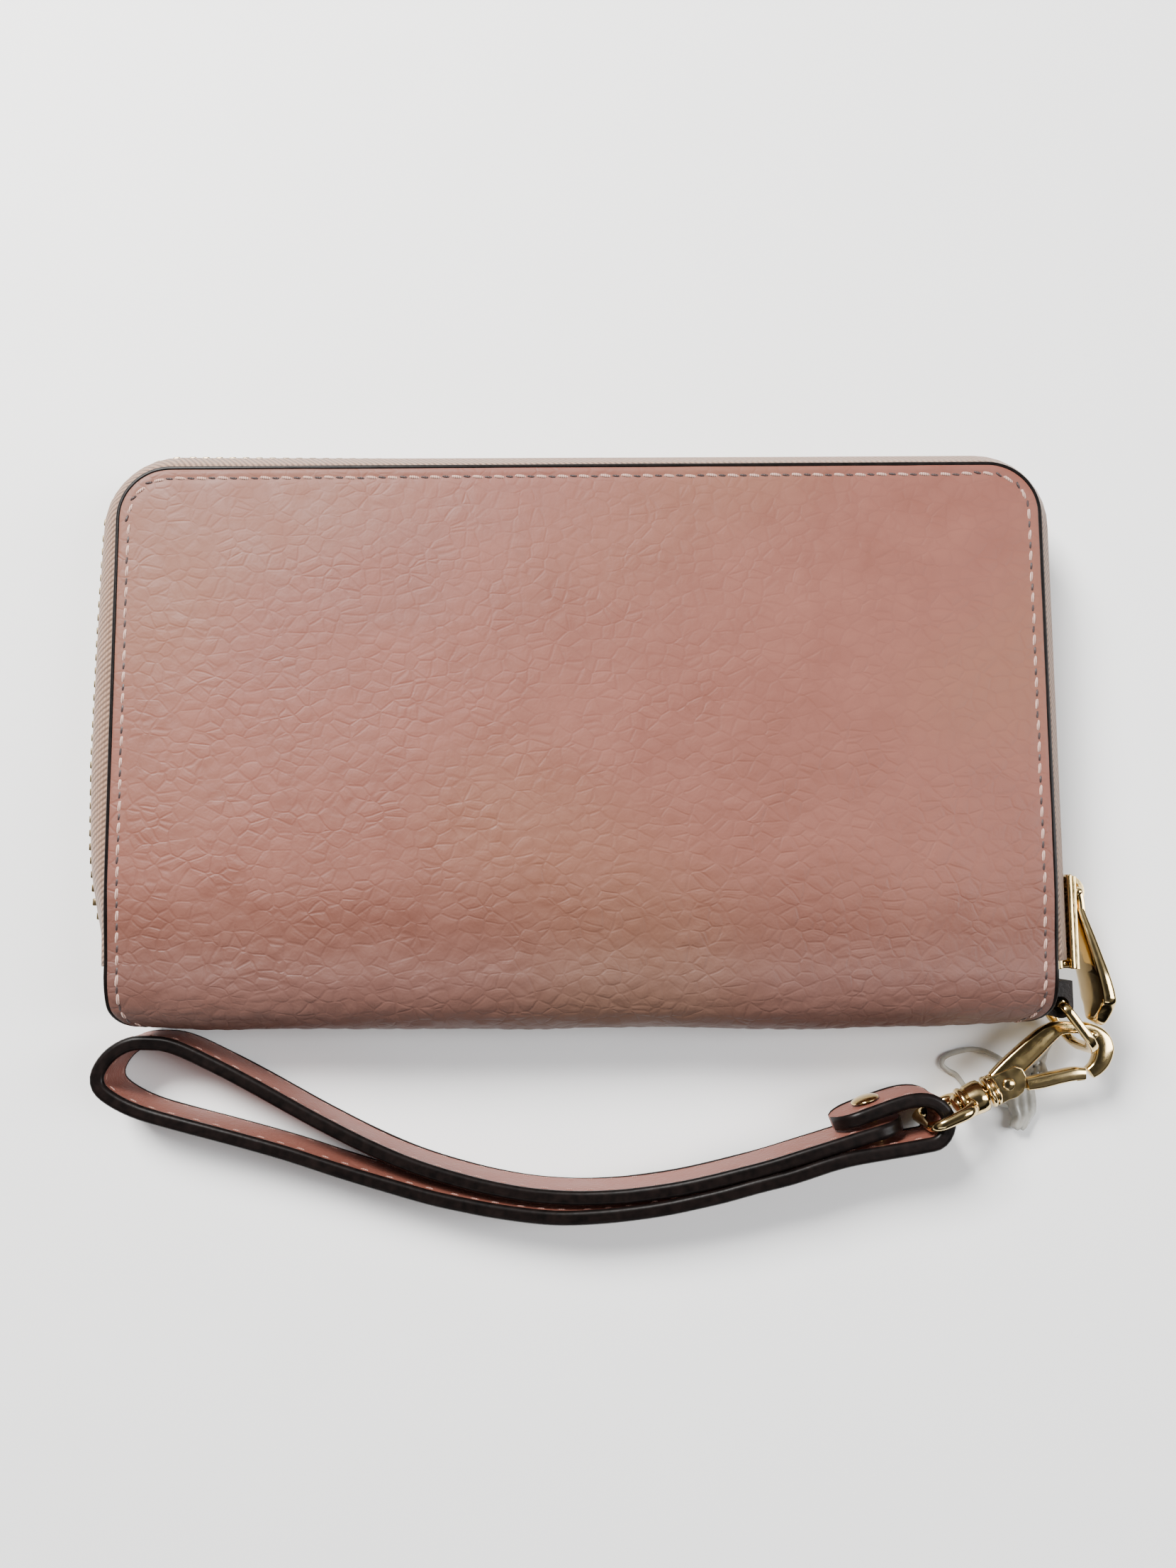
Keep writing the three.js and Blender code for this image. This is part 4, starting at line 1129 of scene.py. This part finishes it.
def make_puller():
    """A long cast puller: rounded plate, chamfered end, and a knuckle round the slider's arch."""
    stations = [
        (86.75, -28.9, 10.0, 1.3, 5.6), (87.2, -31.2, 10.05, 1.6, 6.8), (87.8, -34, 10.15, 1.9, 8.2),
        (88.45, -37, 10.3, 2.15, 9.3), (89.1, -40, 10.5, 2.45, 10.1), (89.6, -42.6, 10.65, 2.7, 10.3),
        (89.75, -44.4, 10.8, 2.8, 10.2), (89.65, -45.6, 10.9, 2.8, 8.2), (89.3, -47, 11.05, 2.7, 5.9),
        (88.95, -48.1, 11.2, 2.3, 4.0), (88.8, -48.4, 11.2, 1.6, 3.0),
    ]
    table = resample(stations, 0.6)
    line = table[:, :2]
    along = tangents(line)
    side = np.stack([-along[:, 1], along[:, 0]], 1)
    count = 20
    angle = np.linspace(0, 2 * math.pi, count, endpoint=False)
    power = 0.42
    a = np.sign(np.cos(angle)) * np.abs(np.cos(angle)) ** power
    b = np.sign(np.sin(angle)) * np.abs(np.sin(angle)) ** power
    rings = np.stack([
        np.column_stack([line + side * (u * table[:, 3:4] / 2), table[:, 2] + v * table[:, 4] / 2])
        for u, v in zip(a, b)
    ], 1)
    body = make_object("puller_plate", rings.reshape(-1, 3), tube_faces(len(line), count),
                       "gold", "puller")
    body.data.set_sharp_from_angle(angle=math.radians(55))
    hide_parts("zip_puller")

    # knuckle: the plate's two cheeks wrap the bar under the arch
    pivot = np.array([86.5, -25.9])
    for name, middle in (("lower", 8.05), ("upper", 11.95)):
        swept(f"puller_cheek_{name}", [
            (87.0, -29.8, middle, 1.2, 1.6), (86.95, -28.0, middle, 1.15, 1.6),
            (86.75, -26.6, middle, 1.2, 1.6), (86.55, -25.6, middle, 1.3, 1.6),
        ], 0.45, "gold", "puller", round_end=0.6)
    ring = np.stack([np.cos(angle), np.sin(angle)], 1) * 0.66 + pivot
    heights = (7.2, 7.4, 12.6, 12.8)
    scale = (0.8, 1.0, 1.0, 0.8)
    rod = np.vstack([np.column_stack([(ring - pivot) * k + pivot, np.full(count, z)])
                     for z, k in zip(heights, scale)])
    make_object("puller_bar", rod, tube_faces(4, count), "gold", "puller")


FILAMENT_ROUTE = [
    (75.3, -63.9, 1.3), (72.3, -63.2, 0.9), (69.8, -61.6, 0.7), (68.6, -60, 0.62),
    (67.6, -58.7, 0.62), (66.3, -58, 0.62), (65.2, -56.9, 0.65), (65.7, -55.6, 0.7),
    (67.9, -54.7, 0.8), (71.1, -54.2, 0.9), (74.4, -55.2, 1.1), (77.9, -57.4, 1.3),
]
FILAMENT_RADIUS = 0.45
TUBE_SIDES = 12
# How far each end of the filament runs on past its last route point
FILAMENT_INTO = (1.6, 1.4)
TAG_LOW, TAG_HIGH = 0.2, 3.0
# x, y and radius of each hole through the lock
FAN_HOLES = ((80.9, -58.6, 0.34), (82.2, -58.5, 0.42), (82.4, -56.6, 0.42), (81.3, -57.2, 0.3))
PLUG_TOP_Y, PLUG_LOW_Y = -60.35, -68.2


def tube_along(path, radii, sides=TUBE_SIDES):
    """Points of a round tube whose radius may change along its path."""
    along = tangents(path)
    side = np.cross(along, (0, 0, 1.0))
    side /= np.linalg.norm(side, axis=1, keepdims=True)
    lift = np.cross(side, along)
    radii = np.broadcast_to(radii, len(path))[:, None]
    turn = np.linspace(0, 2 * math.pi, sides, endpoint=False)
    rings = np.stack([path + radii * (math.cos(t) * side + math.sin(t) * lift) for t in turn], 1)
    return rings.reshape(-1, 3)


def make_filament():
    """The clear filament, looped under the swivel and the clasp's spine."""
    route = [np.array(p) for p in FILAMENT_ROUTE]
    for end, inner, reach in ((0, 1, FILAMENT_INTO[0]), (-1, -2, FILAMENT_INTO[1])):
        away = route[end] - route[inner]
        route[end] = route[end] + away / np.linalg.norm(away) * reach
    path = resample(route, 0.4)
    filament = make_object("tag_filament", tube_along(path, FILAMENT_RADIUS),
                           tube_faces(len(path), TUBE_SIDES), "clear", "clasp")
    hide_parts("tag_loop")
    length = float(np.linalg.norm(np.diff(path, axis=0), axis=1).sum())
    return filament, path, length


def make_plug():
    """Fluted plug that widens to a lobe on its right and narrows to a ragged foot."""
    steps, around = 34, 72
    rings = []
    for k in range(steps):
        t = k / (steps - 1)
        y = PLUG_TOP_Y + (PLUG_LOW_Y - PLUG_TOP_Y) * t
        left = 76.25 + 0.95 * math.exp(-((t - 0.74) / 0.2) ** 2) + 0.35 * max(0, t - 0.85) / 0.15
        right = 81.25 + 0.35 * math.sin(math.pi * min(1, t * 1.25)) - 1.6 * max(0, t - 0.62) / 0.38
        close = min(1.0, 0.72 + 0.28 * min(t, 1 - t) / 0.06)
        middle, half = (left + right) / 2, (right - left) / 2
        for a in np.linspace(0, 2 * math.pi, around, endpoint=False):
            ca, sa = math.cos(a), math.sin(a)
            across = math.copysign(abs(ca) ** 0.75, ca)
            flute = 1 + 0.10 * math.cos(across * 11 + 0.6 * t) * abs(sa) ** 0.4
            foot = 0.18 * math.sin(across * 7 + 1) * max(0, t - 0.8) / 0.2
            rings.append((middle + half * close * across, y + foot,
                          (TAG_LOW + TAG_HIGH) / 2
                          + (TAG_HIGH - TAG_LOW) / 2 * 0.9 * close * flute
                          * math.copysign(abs(sa) ** 0.8, sa)))
    plug = make_object("tag_plug_clear", rings, tube_faces(steps, around), "clear", "clasp")
    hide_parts("tag_plug")


def make_fan():
    """Thin fan-shaped lock with a thicker rim and small holes through it."""
    corners = [(83.7, -59.7), (84.0, -58.3), (83.5, -56.6), (84.1, -54.6), (85.3, -52.6),
               (84.6, -52.7), (82.4, -54.6), (80.6, -56.6), (79.3, -58.2), (78.7, -59.7)]
    fan = plate("tag_fan_clear", corners, 0.9, 2.2, 0.35, "clasp", "clear")
    for x, y, radius in FAN_HOLES:
        turn = np.linspace(0, 2 * math.pi, 20, endpoint=False)
        rings = [(x + radius * math.cos(a), y + radius * math.sin(a), z)
                 for z in (0.0, TAG_HIGH) for a in turn]
        hole = make_object("fan_hole_cutter", rings, tube_faces(2, 20), "clear")
        cut = fan.modifiers.new("hole", "BOOLEAN")
        cut.operation = "DIFFERENCE"
        cut.solver = "EXACT"
        cut.object = hole
        apply_modifier(fan, cut)
        bpy.data.objects.remove(hole, do_unlink=True)
    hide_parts("tag_lock")
    rim = np.array([(78.7, -59.6, 1.6), (79.4, -58.1, 1.6), (80.7, -56.5, 1.6), (82.5, -54.5, 1.6),
                    (84.9, -52.5, 1.6)])
    path = resample(rim, 0.3)
    make_object("tag_fan_rim", tube_along(path, 0.42), tube_faces(len(path), TUBE_SIDES),
                "clear", "clasp")


# The clasp lies level at CLIP_Z; its swivel's axis leaves the flange's centre at this angle
CLIP_Z = 7.35
CLIP_THICK = 2.2
FLANGE = (71.3, -60.7)
SWIVEL = math.radians(24)


def clasp_place(reach, side=0.0):
    """A place in the clasp's plane, by its distance along and beside the swivel's axis."""
    return (FLANGE[0] + reach * math.cos(SWIVEL) - side * math.sin(SWIVEL),
            FLANGE[1] + reach * math.sin(SWIVEL) + side * math.cos(SWIVEL))


def make_clasp():
    """Lobster clasp: a bevelled spine that runs on into a round nose, a forked base and a gate."""
    def at(x, y, width, height=CLIP_THICK):
        return (x, y, CLIP_Z, width, height)

    swept("hook_spine", [
        at(72.6, -58.9, 3.6), at(74.2, -57.5, 3.9), at(76.6, -55.4, 4.0), at(79.6, -52.8, 3.8),
        at(82.0, -50.8, 3.3), at(84.0, -49.8, 2.5), at(86.4, -49.65, 2.1), at(88.9, -49.9, 2.3),
        at(90.9, -51.1, 2.9, 2.4), at(91.7, -53.0, 3.3, 2.6), at(91.2, -55.1, 3.1, 2.6),
        at(90.2, -56.6, 2.6, 2.4), at(89.0, -57.5, 2.2),
    ], 0.5, "gold", "clasp", round_end=0.2)
    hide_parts("clasp_hook")
    base = [clasp_place(0.2, -2.5), (74.3, -62.0), (75.9, -61.5), (77.0, -60.6), (77.5, -59.2),
            (77.5, -57.8), (76.9, -56.6), (75.6, -56.2), clasp_place(0.2, 2.5)]
    for name, low, high in (("upper", CLIP_Z + 0.8, CLIP_Z + 1.3), ("lower", CLIP_Z - 1.2, CLIP_Z - 0.8)):
        plate(f"hook_fork_{name}", base, low, high, 0.16, "clasp")
    turned("hook_flange", [
        (-0.5, 1.4), (-0.5, 2.5), (-0.32, 2.76), (0.0, 2.82), (0.25, 2.7), (0.34, 2.45), (0.5, 2.45),
        (0.62, 2.68), (0.95, 2.72), (1.25, 2.5), (1.35, 1.4),
    ], (*FLANGE, CLIP_Z), SWIVEL, "clasp")

    gate = swept("gate_arm", [
        (77.9, -59.35, CLIP_Z, 2.3, 2.2), (80.5, -58.9, CLIP_Z, 2.5, 2.2),
        (83.6, -58.2, CLIP_Z, 2.4, 2.2), (86.2, -57.7, CLIP_Z, 2.4, 2.2), (88.1, -57.65, CLIP_Z, 2.1, 2.1),
    ], 0.5, "gold", "gate", round_end=0.2)
    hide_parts("clasp_gate")
    tongue = [(73.2, -60.3), (78.6, -60.15), (78.6, -58.6), (75.0, -58.0), (73.3, -58.4)]
    plate("gate_tongue", tongue, CLIP_Z - 0.55, CLIP_Z + 0.55, 0.15, "gate")
    plate("gate_lip", [(86.5, -58.9), (88.0, -58.7), (88.1, -58.2), (86.5, -58.3)],
          CLIP_Z - 0.9, CLIP_Z + 0.9, 0.15, "gate")

    barrel = turned("swivel_barrel", [
        (-5.6, 1.4), (-5.6, 2.45), (-5.4, 2.75), (-5.0, 2.85), (-4.6, 2.72), (-4.45, 2.5), (-4.2, 2.5),
        (-4.05, 2.72), (-2.4, 2.85), (-1.4, 2.8), (-1.05, 2.5), (-1.0, 1.4),
    ], (*FLANGE, CLIP_Z), SWIVEL, "swivel")
    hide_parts("swivel_eye")


def upright_frame(name, origin, angle, reach, half, corners, wire, power, body):
    """A closed wire frame that stands upright: reach, half height and the near and far corners.

    The wire is given by its half thickness in the frame's plane and across it, near and far.
    """
    near, far = reach
    in_plane, across_near, across_far = wire
    quarter = np.linspace(0, math.pi / 2, 9)
    loop = []
    for u, sign_v, radius, start in (
        (near, 1, corners[0], 0), (far, 1, corners[1], 0.5),
        (far, -1, corners[1], 1), (near, -1, corners[0], 1.5),
    ):
        centre = u - radius if u == max(near, far) else u + radius
        loop += [(centre + radius * math.cos(start * math.pi + t),
                  sign_v * (half - radius) + radius * math.sin(start * math.pi + t)) for t in quarter]
    path = resample(loop, 0.4, closed=True)
    along = tangents(path, closed=True)
    axis = np.array([math.cos(angle), math.sin(angle)])
    sideways = np.array([-math.sin(angle), math.cos(angle)])
    turn = (np.arange(16) + 0.5) * math.pi / 8
    inward = np.sign(np.cos(turn)) * np.abs(np.cos(turn)) ** power * in_plane
    beside = np.sign(np.sin(turn)) * np.abs(np.sin(turn)) ** power
    rings = []
    for (u, v), (along_u, along_v) in zip(path, along):
        share = min(max((u - far) / (near - far), 0), 1)
        across = across_far + (across_near - across_far) * share
        plan = np.outer(u - along_v * inward, axis) + np.outer(beside * across, sideways)
        rings.append(np.column_stack([plan + origin[:2], origin[2] + v + along_u * inward]))
    piece = make_object(name, np.vstack(rings), tube_faces(len(rings), 16, closed=True),
                        "gold", body)
    piece.data.set_sharp_from_angle(angle=math.radians(60))
    return piece


TAB_AXIS = (82.6, -45.4)
BOW_AXIS = (87.9, -52.8)
RING_Z = 8.4


def make_frames():
    """The swivel's eye, of thick oval wire, and the flat ring between the tab and the clasp."""
    upright_frame("swivel_frame", (*FLANGE, CLIP_Z), SWIVEL, (-4.3, -12.6), 6.3, (3.0, 2.3),
                  (0.83, 1.15, 0.9), 1.0, "swivel")
    reach = math.dist(TAB_AXIS, BOW_AXIS)
    angle = math.atan2(BOW_AXIS[1] - TAB_AXIS[1], BOW_AXIS[0] - TAB_AXIS[0])
    ring = upright_frame("ring_wire", (*TAB_AXIS, RING_Z), angle, (reach, 0), 5.6, (3.0, 1.2),
                         (0.8, 0.75, 0.75), 0.45, "ring")
    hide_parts("d_ring")


def make_slider_lips():
    """The slider's outer lips, which hold the tape's edge."""
    low, high = (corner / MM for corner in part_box("zip_slider"))
    for name, left, right in (("inner", low.x + 0.25, HALF_X + 2.75), ("outer", HALF_X + 4.2, high.x - 3.3)):
        plate(f"slider_lip_{name}",
              [(left, low.y + 0.05), (right, low.y + 0.05), (right, high.y - 0.05), (left, high.y - 0.05)],
              high.z - 0.85, high.z - 0.02, 0.2, "slider")


def make_hardware():
    softened("zip_slider", "slider_polished", 0.28)
    softened("swivel_post", "post_polished", 0.2)
    softened("gate_rivet", "gate_rivet_polished", 0.08, 2)
    softened("gate_spring", "gate_spring_wire", 0.06, 2)
    softened("hook_stud", "hook_stud_polished", 0.06, 2)
    softened("puller_dome", "puller_dome_polished", 0.08, 2)
    softened("strap_rivet", "strap_rivet_polished", 0.12, 2)
    softened("strap_rivet_base", "strap_rivet_base_polished", 0.12, 2)
    softened("zip_bottom_stop", "bottom_stop_polished", 0.3, shift=(2.4, 0, 0))
    softened("zip_top_stop_front", "top_stop_front_polished", 0.25)
    softened("zip_top_stop_back", "top_stop_back_polished", 0.25)
    softened("ring_tab", "ring_tab_leather", 0.8, 4, "tab")


make_camera()
FILAMENT, FILAMENT_PATH, FILAMENT_LENGTH = make_filament()
make_studio()
make_cover()
make_edge_paint()
make_cover_stitching()
make_tapes()
make_teeth()
make_lining()
make_pocket("phone_pocket", 1)
for pocket_side in ("left", "right"):
    for pocket_slot in (1, 2, 3):
        make_pocket(f"card_pocket_{pocket_side}_{pocket_slot}", -1)
make_gusset("left")
make_gusset("right")
make_strap()
make_puller()
make_clasp()
make_frames()
make_slider_lips()
make_fan()
make_plug()
make_hardware()
